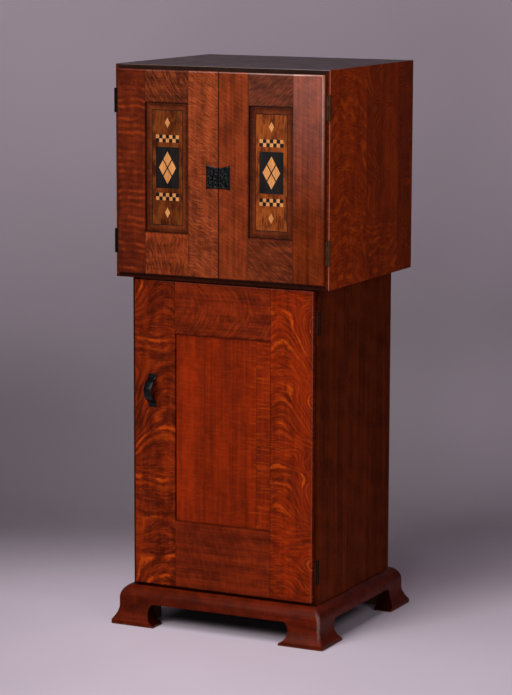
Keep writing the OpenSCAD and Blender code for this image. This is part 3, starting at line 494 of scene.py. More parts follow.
# Boards: what oak() takes for each, after the settings that some share. The order gives their seeds.
UPPER_SIDE = dict(
    tone="case", spacing=27, warp=2.2, reach=0.018, width=0.5, patch=0.42, amount=0.45, fine=0.4, ground=0.06,
    mottle=0.22, sheen=0.015, edge=0.33, arch=0.004, stroke=0.34,
)
LOWER_SIDE = dict(tone="dim", spacing=60, reach=0.01, width=0.3, amount=0.3, sheen=0.005, edge=0.4)
HIDDEN = dict(tone="dim", spacing=40, amount=0.3, fine=0.2)
BACK = dict(tone="case", spacing=44, amount=0.35, fine=0.2, rough=0.6)
BOARDS = {
    # lower door
    "lower_door_free_stile": dict(
        tone="low_dark", spacing=27, tilt=-0.1, warp=1.4, reach=0.018, width=0.44, amount=0.95, fine=0.26,
        ground=0.16, mottle=0.35, sheen=0.03, shine=0.2, grime=0.2, arch=0.0105, peak=-138, stroke=0.3,
        crowd=3.2, rag=1.2, calm=(460, 625)
    ),
    "lower_door_hinge_stile": dict(
        tone="low", spacing=21, tilt=0.0, reach=0.018, width=0.42, patch=0.44, amount=0.9, fine=0.34,
        ground=0.12, sheen=0.03, shine=0.2, grime=0.2, arch=0.015, peak=136, stroke=0.3, crowd=3.2,
        rag=1.3
    ),
    "lower_door_top_rail": dict(
        tone="low_plain", spacing=9, tilt=-0.4, warp=3.5, reach=0.009, amount=0.06, fine=0.32, mottle=0.3,
        sheen=0.03, shine=0.2, arch=0.008, peak=690, stroke=0.14
    ),
    "lower_door_bottom_rail": dict(
        tone="low_plain", spacing=60, tilt=0.2, warp=1.2, reach=0.01, width=0.3, patch=0.6, amount=0.3,
        fine=0.16, ground=0.0, sheen=0.03, shine=0.2, grime=0.2
    ),
    "lower_door_panel": dict(
        tone="low", spacing=9, tilt=0.05, warp=3.0, reach=0.008, width=0.36, patch=0.46, amount=0.03,
        fine=0.1, ground=0.0, mottle=0.2, sheen=0.03, planks=((-45, 80), (1.12, 1.0, 1.05)),
        dashes=(40, 11.0, 0.4)
    ),
    # left door
    "left_door_hinge_stile": dict(
        tone="up_red", spacing=14, tilt=0.05, warp=1.8, reach=0.018, width=0.44, amount=0.75, fine=0.2,
        ground=0.12, mottle=0.35, shine=0.2, wear=0.02
    ),
    "left_door_meeting_stile": dict(
        tone="up_gold", spacing=7, tilt=0.45, warp=7.0, reach=0.03, patch=0.38, amount=0.06, fine=0.46,
        mottle=0.35, stroke=0.36, shine=0.6
    ),
    "left_door_top_rail": dict(
        tone="up_dark", spacing=8, tilt=0.6, warp=8.0, reach=0.03, patch=0.36, amount=0.08, fine=0.5,
        ground=0.06, mottle=0.35, shine=0.2, wear=0.02, stroke=0.3
    ),
    "left_door_bottom_rail": dict(
        tone="up_warm", spacing=9, tilt=0.2, warp=6.0, reach=0.03, patch=0.36, amount=0.08, fine=0.36,
        mottle=0.35, stroke=0.3
    ),
    # right door
    "right_door_meeting_stile": dict(
        tone="up_warm", spacing=9, tilt=0.5, warp=3.0, amount=0.05, fine=0.13, ground=0.03, mottle=0.3
    ),
    "right_door_hinge_stile": dict(
        tone="up", spacing=6, tilt=0.5, warp=4.0, patch=0.38, amount=0.06, fine=0.14, ground=0.04,
        mottle=0.2, sheen=0.55, wear=0.9, worn=(880, 1230), fade=(0.86, 1.45)
    ),
    "right_door_top_rail": dict(
        tone="up_deep", spacing=7.5, tilt=-1.2, warp=4.0, reach=0.013, patch=0.38, amount=0.08, fine=0.5,
        ground=0.06, mottle=0.4, sheen=0.12, wear=0.4, stroke=0.3
    ),
    "right_door_bottom_rail": dict(
        tone="up_dark", spacing=6.5, tilt=1.4, warp=3.5, reach=0.013, patch=0.38, amount=0.08, fine=0.38,
        ground=0.06, mottle=0.3, stroke=0.3
    ),
    # cases
    "upper_right_side": dict(
        UPPER_SIDE, tilt=0.2, wear=0.5, peak=-110, planks=((-20, 148), (1.0, 0.74, 0.54))
    ),
    "upper_left_side": dict(UPPER_SIDE, tilt=-0.2, peak=90, planks=((-60, 95), (1.0, 0.8, 0.9))),
    "upper_top": dict(
        tone="top", dust=0.88, spacing=34, tilt=0.4, warp=2.0, reach=0.01, width=0.34, patch=0.46,
        amount=0.3, fine=0.2, edge=0.4, planks=((-60, 90), (1.05, 0.95, 1.0))
    ),
    "upper_floor": dict(
        tone="dim", spacing=34, tilt=0.4, warp=2.0, reach=0.01, width=0.34, patch=0.46, amount=0.4,
        fine=0.3, edge=0.3
    ),
    "lower_right_side": dict(
        LOWER_SIDE, patch=0.56, fine=0.12, mottle=0.12, planks=((-40, 110), (1.1, 0.95, 0.85))
    ),
    "lower_left_side": dict(
        LOWER_SIDE, tilt=-0.3, patch=0.54, fine=0.15, planks=((-70, 60), (1.0, 1.1, 0.92))
    ),
    "lower_floor": HIDDEN,
    "lower_top": HIDDEN,
    "lower_back": dict(BACK, planks=((-120, -40, 45, 125), (1.0, 0.85, 1.05, 0.9, 1.0))),
    "upper_back": dict(BACK, planks=((-150, -75, 0, 75, 150), (0.9, 1.05, 0.95, 1.0, 0.85, 1.0))),
}


def seams(node, names):
    """Edges of a door board that meet another board: (axis, place, side)."""
    lo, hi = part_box(node)
    found = []
    for i in (0, 2):
        if lo[i] - min(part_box(n)[0][i] for n in names) > 0.001:
            found.append((i, lo[i] * 1000, 1))
        if max(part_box(n)[1][i] for n in names) - hi[i] > 0.001:
            found.append((i, hi[i] * 1000, -1))
    return found


def door_boards(door):
    return [n for n in BOARDS if n.startswith(door + "_door") and "panel" not in n]


def board_joints(node):
    if "panel" in node:
        west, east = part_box("lower_door_free_stile")[1].x * 1000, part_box("lower_door_hinge_stile")[0].x * 1000
        foot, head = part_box("lower_door_bottom_rail")[1].z * 1000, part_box("lower_door_top_rail")[0].z * 1000
        return [(0, west, 1), (0, east, -1), (2, foot, 1), (2, head, -1)]
    return seams(node, door_boards(node.split("_door")[0])) if "_door_" in node else ()


# across, along and through a board, by the last word of its name
AXES = dict(stile="XZY", rail="ZXY", panel="XZY", side="YZX", back="XZY", top="YXZ", floor="YXZ")
for seed, (node, spec) in enumerate(BOARDS.items(), 1):
    axes = AXES[node.split("_")[-1]]
    assign(nodes[node], oak("oak_" + node, axes, seed, joints=board_joints(node), **spec))
    if "door" not in node and node not in ("upper_left_side", "upper_right_side", "upper_top"):
        ease(nodes[node], 0.8)


# Mesh helpers


def mesh_object(name, verts, faces, smooth_faces=True):
    me = bpy.data.meshes.new(name)
    me.from_pydata([tuple(c * MM for c in v) for v in verts], [], faces)
    me.validate()
    me.update()
    for poly in me.polygons:
        poly.use_smooth = smooth_faces
    ob = bpy.data.objects.new(name, me)
    scene.collection.objects.link(ob)
    return ob


def bake_modifiers(ob):
    dg = bpy.context.evaluated_depsgraph_get()
    me = bpy.data.meshes.new_from_object(ob.evaluated_get(dg))
    ob.modifiers.clear()
    ob.data = me


def tidy_normals(me, merge=0.0):
    bm = bmesh.new()
    bm.from_mesh(me)
    if merge:
        bmesh.ops.remove_doubles(bm, verts=bm.verts, dist=merge)
    bmesh.ops.recalc_face_normals(bm, faces=bm.faces)
    bm.to_mesh(me)
    bm.free()


def cut_away(ob, cutters):
    for c in cutters:
        b = ob.modifiers.new("cut", "BOOLEAN")
        b.operation = "DIFFERENCE"
        b.solver = "EXACT"
        b.object = c
    bpy.context.view_layer.update()
    bake_modifiers(ob)


def prism(name, line, ends, place):
    """Closed bar of this outline between two ends; place(p, q, end) is where a point of it lies."""
    verts = [place(p, q, end) for end in ends for p, q in line]
    n = len(line)
    faces = [tuple(range(n)), tuple(range(2 * n - 1, n - 1, -1))]
    faces += [(i, n + i, n + (i + 1) % n, (i + 1) % n) for i in range(n)]
    ob = mesh_object(name, verts, faces, False)
    tidy_normals(ob.data)
    return ob


# Rounded arrises: copies of the boards, cut by bars
PAST, OVER = 9, 3.0  # how far a bar reaches past the ends of an arris, and out from it, in mm
SLACK = 0.02  # a bar's hollow is this much larger than the radius, in mm
ON_ARRIS = 0.2  # a board within this of an arris has it, in mm


def arris_cutter(radius, axis, out, at, front, span):
    """Bar that rounds the arris where the face at -Y meets the face at this place on the axis (0 or 2)."""
    r, steps = radius + SLACK, 10
    line = []
    for k in range(steps + 1):
        a = math.radians(-4 + 98 * k / steps)
        line.append((at - out * radius + out * r * math.cos(a), front + radius - r * math.sin(a)))
    line += [(line[-1][0], front - OVER), (at + out * OVER, front - OVER), (at + out * OVER, line[0][1])]
    return prism("arris", line, span, lambda p, q, s: (p, q, s) if axis == 0 else (s, q, p))


def eased_copy(node, bars, body):
    """The CAD node's shape with these bars cut from it, in its place."""
    me = nodes[node].data.copy()
    tidy_normals(me, WELD)
    ob = bpy.data.objects.new(node + "_eased", me)
    scene.collection.objects.link(ob)
    cut_away(ob, bars)
    ease(ob, 0.3, BEVEL_ANGLE)
    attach(ob, body)
    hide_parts(node)


def round_door(door, west, east, ends):
    """Boards of a door with rounded arrises round its front face; radii in mm."""
    names = door_boards(door)
    lo = Vector([min(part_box(n)[0][k] for n in names) for k in range(3)]) * 1000
    hi = Vector([max(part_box(n)[1][k] for n in names) for k in range(3)]) * 1000
    long_x, long_z = (lo.x - PAST, hi.x + PAST), (lo.z - PAST, hi.z + PAST)
    bars = [
        (0, lo.x, arris_cutter(west, 0, -1, lo.x, lo.y, long_z)),
        (0, hi.x, arris_cutter(east, 0, 1, hi.x, lo.y, long_z)),
        (2, lo.z, arris_cutter(ends, 2, -1, lo.z, lo.y, long_x)),
        (2, hi.z, arris_cutter(ends, 2, 1, hi.z, lo.y, long_x)),
    ]
    for n in names:
        own = [v * 1000 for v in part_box(n)]
        near = [c for k, at, c in bars if min(abs(own[0][k] - at), abs(own[1][k] - at)) < ON_ARRIS]
        eased_copy(n, near, door + "_door")
    for bar in bars:
        bpy.data.objects.remove(bar[2])


def round_case(radius):
    lo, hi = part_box("upper_top")[0] * 1000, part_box("upper_top")[1] * 1000
    sides = (("upper_left_side", 0, -1, lo.x), ("upper_right_side", 0, 1, hi.x), ("upper_top", 2, 1, hi.z))
    for node, axis, out, at in sides:
        own = [v * 1000 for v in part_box(node)]
        span = (own[0][2 - axis] - PAST, own[1][2 - axis] + PAST)
        bar = arris_cutter(radius, axis, out, at, own[0].y, span)
        eased_copy(node, [bar], "cabinet")
        bpy.data.objects.remove(bar)


round_case(1.8)
round_door("left", 7.0, 1.4, 4.0)
round_door("right", 1.4, 7.0, 4.0)
round_door("lower", 3.0, 3.0, 3.0)

# Plinth: one run of moulding with softened corners, cut by the arches
PLINTH_H, FOOT_OUT, PLINTH_T, FOOT_LIP = 86.0, 33.0, 42.0, 10.0
WAIST_OUT, WAIST_Z, NECK_H, LEDGE_W, LEDGE_H = 20.5, 43.0, 14.0, 22.0, 16.0
FOOT_LEN, ARCH_H, SCOOP, SCOOP_Z = 104.0, 50.0, 18.0, 30.0
THROUGH, BELOW = 400, -4.0  # how far an arch is cut through, and from what height
# pale of the painted highlight on the plinth's corners, and of its scuffed foot
CORNER_HIGHLIGHT, SCUFFED = (0.30, 0.17, 0.145), (0.150, 0.068, 0.028)
TOE_R, CORNER_MORE, CORNER_Z, CORNER_RISE, INNER_R = 3.5, 4.0, 6.0, 26.0, 0.6  # corner radii, by height
EDGE_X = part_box("lower_right_side")[1].x * 1000
EDGE_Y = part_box("plinth_back")[1].y * 1000 - FOOT_OUT


def plinth_profile():
    inner, crown_z = FOOT_OUT - PLINTH_T, WAIST_Z + NECK_H
    cw, ch = WAIST_OUT - 1.0, PLINTH_H - crown_z
    cr = (cw * cw + ch * ch) / (2 * cw)
    vw, vh = FOOT_OUT - WAIST_OUT, WAIST_Z - FOOT_LIP
    vr = (vw * vw + vh * vh) / (2 * vw)
    pts = [(inner, 0.0), (FOOT_OUT - 1.4, 0.0), (FOOT_OUT - 0.4, 0.4), (FOOT_OUT, 1.4)]
    pts += [(FOOT_OUT, FOOT_LIP - 1.6), (FOOT_OUT - 0.4, FOOT_LIP - 0.3), (FOOT_OUT - 1.4, FOOT_LIP + 1.2)]
    for i in range(2, 15):
        z = FOOT_LIP + vh * i / 14
        pts.append((WAIST_OUT + vr - math.sqrt(vr * vr - (WAIST_Z - z) ** 2), z))
    for i in range(17):
        z = crown_z + ch * math.sin(math.pi / 2 * i / 16)
        pts.append((WAIST_OUT - cr + math.sqrt(max(0.0, cr * cr - (z - crown_z) ** 2)), z))
    pts += [(inner - LEDGE_W, PLINTH_H), (inner - LEDGE_W, PLINTH_H - LEDGE_H), (inner, PLINTH_H - LEDGE_H)]
    return pts


def plinth_ring(steps=11):
    """The moulding round all four sides. Its corners are rounder above the toes."""
    prof = plinth_profile()
    verts, faces = [], []
    loop = 4 * (steps + 1)
    for o, z in prof:
        hx, hy = EDGE_X + o, EDGE_Y + o
        rise = min(1.0, max(0.0, (z - CORNER_Z) / CORNER_RISE))
        r = TOE_R + CORNER_MORE * rise if o > 0 else INNER_R
        corners = ((hx - r, hy - r), (r - hx, hy - r), (r - hx, r - hy), (hx - r, r - hy))
        for turn, (cx, cy) in enumerate(corners):
            for k in range(steps + 1):
                a = math.radians(90 * turn + 90 * k / steps)
                verts.append((cx + r * math.cos(a), cy + r * math.sin(a), z))
    n = len(prof)
    for j in range(n):
        for i in range(loop):
            a, b = j * loop + i, j * loop + (i + 1) % loop
            c, d = ((j + 1) % n) * loop + (i + 1) % loop, ((j + 1) % n) * loop + i
            faces.append((a, b, c, d))
    return mesh_object("plinth_moulding", verts, faces)


def arch_cutter(name, half, along_x):
    """Opening between two feet, with a round scoop at each end that is cut off by the top of the arch."""
    r = (ARCH_H * ARCH_H / 4 + SCOOP * SCOOP) / (2 * SCOOP)
    cx = half + SCOOP - r
    low, high = -math.acos((r - SCOOP) / r), math.asin((ARCH_H - SCOOP_Z) / r)
    turns = [low + (high - low) * k / 20 for k in range(21)]
    right = [(cx + r * math.cos(a), SCOOP_Z + r * math.sin(a)) for a in turns]
    line = [(half, BELOW)] + right + [(-x, z) for x, z in reversed(right)] + [(-half, BELOW)]
    return prism(name, line, (-THROUGH, THROUGH), lambda x, z, s: (s, x, z) if along_x else (x, s, z))


plinth = plinth_ring()
tidy_normals(plinth.data)
cutters = [
    arch_cutter("cut_a", EDGE_X + FOOT_OUT - FOOT_LEN, False),
    arch_cutter("cut_b", EDGE_Y + FOOT_OUT - FOOT_LEN, True),
]
cut_away(plinth, cutters)
for c in cutters:
    bpy.data.objects.remove(c)
ease(plinth, 1.6, BEVEL_ANGLE)
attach(plinth, "cabinet")
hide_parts("plinth_front", "plinth_back", "plinth_sides")


def plinth_material():
    """The grain turns at the mitres."""
    m, t, bsdf = new_material("oak_plinth_moulding")
    x, y, z = coords_mm(t)
    ax = sub(t, absolute(t, x), EDGE_X)
    ay = sub(t, absolute(t, y), EDGE_Y)
    side = math_node(t, "GREATER_THAN", ax, ay)
    gap = absolute(t, sub(t, ax, ay))
    n = t.nodes.new("ShaderNodeMix")
    n.data_type = "VECTOR"
    put(t, n.inputs[0], side)
    put(t, n.inputs[4], combine(t, add(t, z, 500.0), x, y))
    put(t, n.inputs[5], combine(t, add(t, z, 900.0), add(t, y, 700.0), x))
    vec = n.outputs[1]
    g = oak_figure(t, vec, TONES["base"], spacing=42, tilt=0.5, warp=2.0, reach=0.012, width=0.34, patch=0.46,
                   amount=0.2, fine=0.12, ground=0.03, mottle=0.3)
    keep = smooth(t, gap, 0.1, 0.8, 0.6, 1.0)
    own = split(t, t.nodes.new("ShaderNodeTexCoord").outputs["Normal"])
    # painted shade: faces not facing out, in the arches, scoops, top and bottom, darken to a quarter
    faces = t.nodes.new("ShaderNodeMix")
    put(t, faces.inputs[0], side)
    put(t, faces.inputs[2], absolute(t, own[1]))
    put(t, faces.inputs[3], absolute(t, own[0]))
    keep = mul(t, keep, smooth(t, faces.outputs[0], 0.05, 0.3, 0.25, 1.0))
    color = dimmed(t, g.outputs["Color"], keep)
    wear = noise_node(t, vec, 0.03, 3.0, 0.6)
    # painted highlight: the rounded corners are painted pale over a range of heights, more to the right
    corner_highlight = smooth(t, add(t, gap, mul(t, wear, 4.0)), 2.5, 9.0, 0.34, 0.0)
    band = smooth(t, add(t, z, mul(t, x, 0.12)), 40.0, 78.0)
    band = mul(t, band, smooth(t, z, 62.0, 80.0, 1.0, 0.1))
    corner_highlight = mul(t, corner_highlight, band)
    color = mix_color(t, corner_highlight, color, rgb(CORNER_HIGHLIGHT))
    # scuffed bare along the floor
    scuff = smooth(t, add(t, z, mul(t, wear, 10.0)), 5.6, 8.0, 0.8, 0.0)
    color = mix_color(t, scuff, color, rgb(SCUFFED))
    gloss = mul(t, smooth(t, gap, 3.0, 8.0, 0.66, 0.0), band)
    surface(t, bsdf, color, add(t, 0.2, mul(t, wear, 0.14)), add(t, gloss, 0.04))
    bump(t, bsdf, g.outputs["Height"], *OAK_BUMP)
    return m


plinth_mat = plinth_material()
assign(plinth, plinth_mat)
for node in ("plinth_front", "plinth_back", "plinth_sides"):
    assign(nodes[node], plinth_mat)


# Inlaid panels: oak border, figured veneer inside the dark line
VENEER = (0.070, 0.0120, 0.0024), (0.250, 0.0560, 0.0080)
VENEER_HALF = (37.0, 122.5)  # half width and height of the veneer, in mm
TONGUE = 8.0  # how far the panel goes into its frame, in mm


def panel_material(node, seed, gain):
    m, t, bsdf = new_material("veneer_" + node)
    lo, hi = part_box(node)
    cx, cz = (lo.x + hi.x) * 500, (lo.z + hi.z) * 500
    x, y, z = coords_mm(t)
    dx = absolute(t, sub(t, x, cx))
    dz = absolute(t, sub(t, z, cz))
    half_w, half_h = VENEER_HALF
    inside = mul(t, math_node(t, "LESS_THAN", dx, half_w), math_node(t, "LESS_THAN", dz, half_h))
    vec = combine(t, add(t, x, seed * 91.0), add(t, z, seed * 47.0), y)
    g = oak_figure(t, vec, TONES["panel"], spacing=20, tilt=0.2, warp=1.4, reach=0.02, width=0.3, patch=0.5,
                   amount=0.25, fine=0.2)
    burl = grain(t, split(t, vec), (0.05, 0.022, 0.05), 4.0, 0.6)
    swirl = grain(t, split(t, vec), (0.34, 0.05, 0.3), 3.0, 0.6)
    fig = add(t, mul(t, burl, 0.62), mul(t, swirl, 0.38))
    dark, light = [rgb([c * gain for c in tone]) for tone in VENEER]
    veneer = mix_color(t, smooth(t, fig, 0.38, 0.60), dark, light)
    color = mix_color(t, inside, g.outputs["Color"], veneer)
    hx, hz = (hi.x - lo.x) * 500 - TONGUE, (hi.z - lo.z) * 500 - TONGUE
    rim = math_node(t, "MINIMUM", sub(t, hx, dx), sub(t, hz, dz))
    # painted shade in the recess within a few mm of the frame; then a darker strip and a lighter border
    keep = mul(t, smooth(t, rim, 0.4, 3.4, 0.35, 1.0), smooth(t, rim, 6.0, 12.0, 0.62, 1.12))
    surface(t, bsdf, dimmed(t, color, keep), add(t, 0.24, mul(t, burl, 0.16)), 0.06)
    bump(t, bsdf, g.outputs["Height"], 0.18, 0.0002)
    return m


assign(nodes["left_door_panel"], panel_material("left_door_panel", 3, 0.54))
assign(nodes["right_door_panel"], panel_material("right_door_panel", 8, 1.0))


def plain_wood(name, dark, light, axes, rough, sheen=0.14, fine=0.5):
    m, t, bsdf = new_material(name)
    xyz = coords_mm(t)
    p = [xyz["XYZ".index(a)] for a in axes]
    a = grain(t, p, (fine, fine * 0.03, fine), 3.0, 0.6)
    b = grain(t, p, (0.06, 0.01, 0.06), 2.0, 0.5)
    f = smooth(t, add(t, mul(t, a, 0.55), mul(t, b, 0.45)), 0.34, 0.66)
    color = mix_color(t, f, rgb(dark), rgb(light))
    surface(t, bsdf, color, add(t, rough - 0.06, mul(t, a, 0.12)), sheen)
    bump(t, bsdf, a, 0.2, 0.0002)
    return m


ebony = plain_wood("ebony_inlay", (0.004, 0.0035, 0.003), (0.012, 0.010, 0.009), "XZY", 0.3, sheen=0.08)
maple = plain_wood("maple_inlay", (0.42, 0.155, 0.040), (0.66, 0.290, 0.092), "XZY", 0.32, fine=0.8)
for s in ("left", "right"):
    assign(nodes[s + "_dark_inlay"], ebony)
    assign(nodes[s + "_light_inlay"], maple)
ash = plain_wood("plain_ash", (0.30, 0.17, 0.075), (0.48, 0.31, 0.16), "XYZ", 0.6)
assign(nodes["ice_rack"], ash)
# the corner blocks are coloured near black: painted shade under the plinth
block_wood_painted_shade = plain_wood("block_wood_painted_shade", (0.020, 0.009, 0.005), (0.040, 0.018, 0.009), "XZY", 0.65)
assign(nodes["corner_blocks"], block_wood_painted_shade)
ease(nodes["ice_rack"], 1.0)
ease(nodes["corner_blocks"], 1.0)

# Metals, cork and felt
iron = metal("black_iron", (0.0016, 0.0017, 0.0020), 0.26, 0.0, 0.12, 0.5, 0.4, 0.0005, level=0.16)
DOORS = ("left", "right", "lower")
LEAF_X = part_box("lower_hinge_leaves")[1].x * 1000 - 6.2  # where the barrels of the lower hinges begin
LEAF_STAIN = (0.040, 0.0052, 0.0012)
CASES_MEET = (760, 800)  # heights between the lower hinges and the upper ones


def hinge_shade_and_stain(t, xyz, shade):
    """The hinges of the left and the lower door are darkened nearly to black, as painted shade; the lower
    leaves have the case's stain.
    """
    keep = mul(t, smooth(t, xyz[0], -60, 60, 0.1, 1.0), smooth(t, xyz[2], *CASES_MEET, 0.2, 1.0))
    shade = dimmed(t, shade, keep)
    leaf = smooth(t, xyz[0], LEAF_X - 1.0, LEAF_X, 1.0, 0.0)
    leaf = mul(t, leaf, smooth(t, xyz[2], *CASES_MEET, 1.0, 0.0))
    return mix_color(t, leaf, shade, rgb(LEAF_STAIN))


hinge_metal = metal("hinge_bronze", (0.052, 0.020, 0.008), 0.55, 0.15, 0.4, 0.4, 0.25, 0.0003, level=0.07,
                    dim=hinge_shade_and_stain)
zinc = metal("zinc_sheet", (0.34, 0.35, 0.36), 0.45, 0.85, 0.05, 0.22, 0.12, 0.0005)
wire = metal("tinned_wire", (0.52, 0.53, 0.53), 0.34, 0.95, 0.3, 0.15, 0.15, 0.0002)
brass = metal("old_brass", (0.30, 0.20, 0.075), 0.38, 0.9, 0.15, 0.35, 0.15, 0.0003)
steel = metal("bright_steel", (0.55, 0.55, 0.55), 0.25, 1.0, 0.6, 0.1, 0.1, 0.0001)
for mat, names in (
    (zinc, ("ice_liner", "food_liner", "drain_pipe", "drip_pan", "shelf_cleats")),
    (wire, ("low_shelf", "high_shelf")),
    (brass, ("flush_bolt", "lock_case", "lock_bolt", "catch_barrel")),
    (steel, ("catch_ball",)),
    (hinge_metal, ("case_hinge_leaves", "hinge_pins", "case_screws")),
    (hinge_metal, [door + "_hinge_leaves" for door in DOORS]),
    (iron, ("left_latch_plate", "right_latch_plate", "pull_handle")),
    (iron, [door + "_door_fixings" for door in DOORS]),
):
    for node in names:
        assign(nodes[node], mat)


def speckled(name, dark, light, scale, rough, strength):
    m, t, bsdf = new_material(name)
    p = combine(t, *coords_mm(t))
    a = noise_node(t, p, scale, 3.0, 0.7)
    surface(t, bsdf, mix_color(t, smooth(t, a, 0.38, 0.6), rgb(dark), rgb(light)), rough)
    bump(t, bsdf, a, strength, 0.0006)
    return m


assign(nodes["cork_slabs"], speckled("cork", (0.12, 0.06, 0.025), (0.36, 0.2, 0.09), 0.35, 0.85, 0.4))
assign(nodes["door_seals"], speckled("felt", (0.02, 0.018, 0.017), (0.05, 0.046, 0.042), 0.8, 0.95, 0.5))


# Hammered ironwork: relief from seeded hammer marks
def hammer_marks(seed, u0, u1, v0, v1, count, r0, r1, depth):
    rnd = random.Random(seed)
    marks = []
    for _ in range(count):
        u, v, r = rnd.uniform(u0, u1), rnd.uniform(v0, v1), rnd.uniform(r0, r1)
        marks.append((u, v, r, rnd.uniform(0.5, 1.0) * depth))

    def dent(u, v):
        most = 0.0
        for a, b, r, d in marks:
            q = ((u - a) ** 2 + (v - b) ** 2) / (r * r)
            if q < 1.0:
                most = max(most, d * (1.0 - q))
        return most

    return dent


def grid_faces(nu, nv, start=0, flip=False):
    out = []
    for i in range(nu - 1):
        for j in range(nv - 1):
            a = start + i * nv + j
            quad = (a, a + 1, a + nv + 1, a + nv)
            out.append(quad[::-1] if flip else quad)
    return out


PLATE_W, PLATE_H, PLATE_T, PLATE_GAP, HORN, SOLE = 28.5, 53.0, 2.0, 0.4, 6.5, 2.0
PLATE_MARKS, PULL_MARKS = (48, 4.0, 7.5, 0.95), (100, 2.6, 5.0, 0.55)  # count, least and most radius, depth
LATCH_Z, KEY = 994.0, (14.0, -3.5, 1.8, 1.0, 6.0)  # KEY: x, z, radius, half the slot's width, its length
LEAST_T = 0.1  # thickness of a plate at its thinnest, and in the keyhole
EDGE_W, EDGE_DROP = 1.8, 1.1  # how wide a plate's soft edge is, and how far it drops
RIM_IN, RIM_W, RIM_UP = 2.6, 1.1, 0.25  # its raised rim: way in from the edge, width and height


def latch_plate(side, node, seed):
    """Half of the latch plate as a dense sheet with soft edges; the right half has the keyhole."""
    dent = hammer_marks(seed, 0, PLATE_W, -PLATE_H / 2, PLATE_H / 2, *PLATE_MARKS)
    face_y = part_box(node)[1].y * 1000
    horn_r = (PLATE_W ** 2 + HORN ** 2) / (2 * HORN)
    sole_r = (PLATE_W ** 2 + SOLE ** 2) / (2 * SOLE)
    nu, nv = 54, 102
    front, back = [], []
    for i in range(nu):
        x = PLATE_GAP + (PLATE_W - PLATE_GAP) * i / (nu - 1)
        top = PLATE_H / 2 - HORN + horn_r - math.sqrt(horn_r ** 2 - x * x)
        low = -PLATE_H / 2 + SOLE - sole_r + math.sqrt(sole_r ** 2 - x * x)
        for j in range(nv):
            z = low + (top - low) * j / (nv - 1)
            e = min(x - PLATE_GAP, PLATE_W - x, z - low, top - z)
            k = min(1.0, e / EDGE_W)
            rim_up = RIM_UP * math.exp(-((e - RIM_IN) / RIM_W) ** 2)
            t = PLATE_T - RIM_UP - dent(x, z) * k - EDGE_DROP * (1.0 - k) ** 2 + rim_up
            if side > 0:
                dx, dz = x - KEY[0], z - KEY[1]
                if math.hypot(dx, dz) < KEY[2] or (abs(dx) < KEY[3] and -KEY[4] < dz < 0):
                    t = LEAST_T
            front.append((side * x, face_y - max(LEAST_T, t), LATCH_Z + z))
            back.append((side * x, face_y, LATCH_Z + z))
    n = nu * nv
    faces = grid_faces(nu, nv, 0, side > 0) + grid_faces(nu, nv, n, side < 0)
    rim = list(range(nv)) + [i * nv + nv - 1 for i in range(1, nu)]
    rim += [(nu - 1) * nv + j for j in range(nv - 2, -1, -1)] + [i * nv for i in range(nu - 2, 0, -1)]
    for a, b in zip(rim, rim[1:] + rim[:1]):
        quad = (a, b, b + n, a + n)
        faces.append(quad if side > 0 else quad[::-1])
    ob = mesh_object(node + "_hammered", front + back, faces)
    assign(ob, iron)
    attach(ob, "left_door" if side < 0 else "right_door")
    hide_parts(node)


latch_plate(-1, "left_latch_plate", 41)
latch_plate(1, "right_latch_plate", 42)

# middle line of the pull's strap: out from the door, and up
PULL_LINE = [
    (1.6, 36.0), (1.6, 31.0), (2.4, 26.6), (7.8, 22.4), (15.6, 17.2), (21.0, 9.4), (22.8, 0.8),
    (21.2, -8.6), (15.6, -16.9), (7.6, -22.3), (2.4, -26.8), (1.6, -31.0), (1.6, -36.0),
]


def spline_place(a, b, c, d, t):
    """Catmull-Rom: from b, where t is 0, towards c, where it is 1."""
    bend, turn = 2 * a - 5 * b + 4 * c - d, 3 * b - a - 3 * c + d
    return 0.5 * (2 * b + (c - a) * t + bend * t * t + turn * t ** 3)


def smooth_line(pts, per):
    """Curve through the points, with this many steps from one to the next."""
    out = []
    for i in range(len(pts) - 1):
        four = pts[max(i - 1, 0)], pts[i], pts[i + 1], pts[min(i + 2, len(pts) - 1)]
        for k in range(per):
            out.append(tuple(spline_place(*values, k / per) for values in zip(*four)))
    out.append(pts[-1])
    return out


def pull_strap():
    lo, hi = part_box("pull_handle")
    cx, cz, face_y = (lo.x + hi.x) * 500, (lo.z + hi.z) * 500, hi.y * 1000
    line = smooth_line(PULL_LINE, 6)
    dent = hammer_marks(43, -10, 10, 0, 120, *PULL_MARKS)
    verts, faces, ring, along = [], [], 20, 0.0
    for k, (o, z) in enumerate(line):
        a, b = line[max(k - 1, 0)], line[min(k + 1, len(line) - 1)]
        d = math.hypot(b[0] - a[0], b[1] - a[1])
        no, nz = -(b[1] - a[1]) / d, (b[0] - a[0]) / d
        if k:
            along += math.hypot(o - line[k - 1][0], z - line[k - 1][1])
        end = min(k, len(line) - 1 - k) / (len(line) - 1)
        half_w = 9.4 + 0.5 * min(1.0, end / 0.3) - 1.4 * max(0.0, 1.0 - end / 0.03)
        half_t = 1.5 + 0.7 * min(1.0, end / 0.3)
        for m in range(ring):
            q = 2 * math.pi * m / ring
            cu, cv = math.cos(q), math.sin(q)
            u = half_w * math.copysign(abs(cu) ** 0.45, cu)
            v = half_t * math.copysign(abs(cv) ** 0.6, cv)
            if cv > 0:
                v -= dent(u, along) * cv
            verts.append((cx + u, face_y - max(0.05, o + no * v), cz + z + nz * v))
    n = len(line)
    for k in range(n - 1):
        for m in range(ring):
            a, b = k * ring + m, k * ring + (m + 1) % ring
            faces.append((a, b, b + ring, a + ring))
    faces.append(tuple(range(ring))[::-1])
    faces.append(tuple((n - 1) * ring + m for m in range(ring)))
    ob = mesh_object("pull_strap", verts, faces)
    tidy_normals(ob.data)
    assign(ob, iron)
    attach(ob, "lower_door")
    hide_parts("pull_handle")


pull_strap()

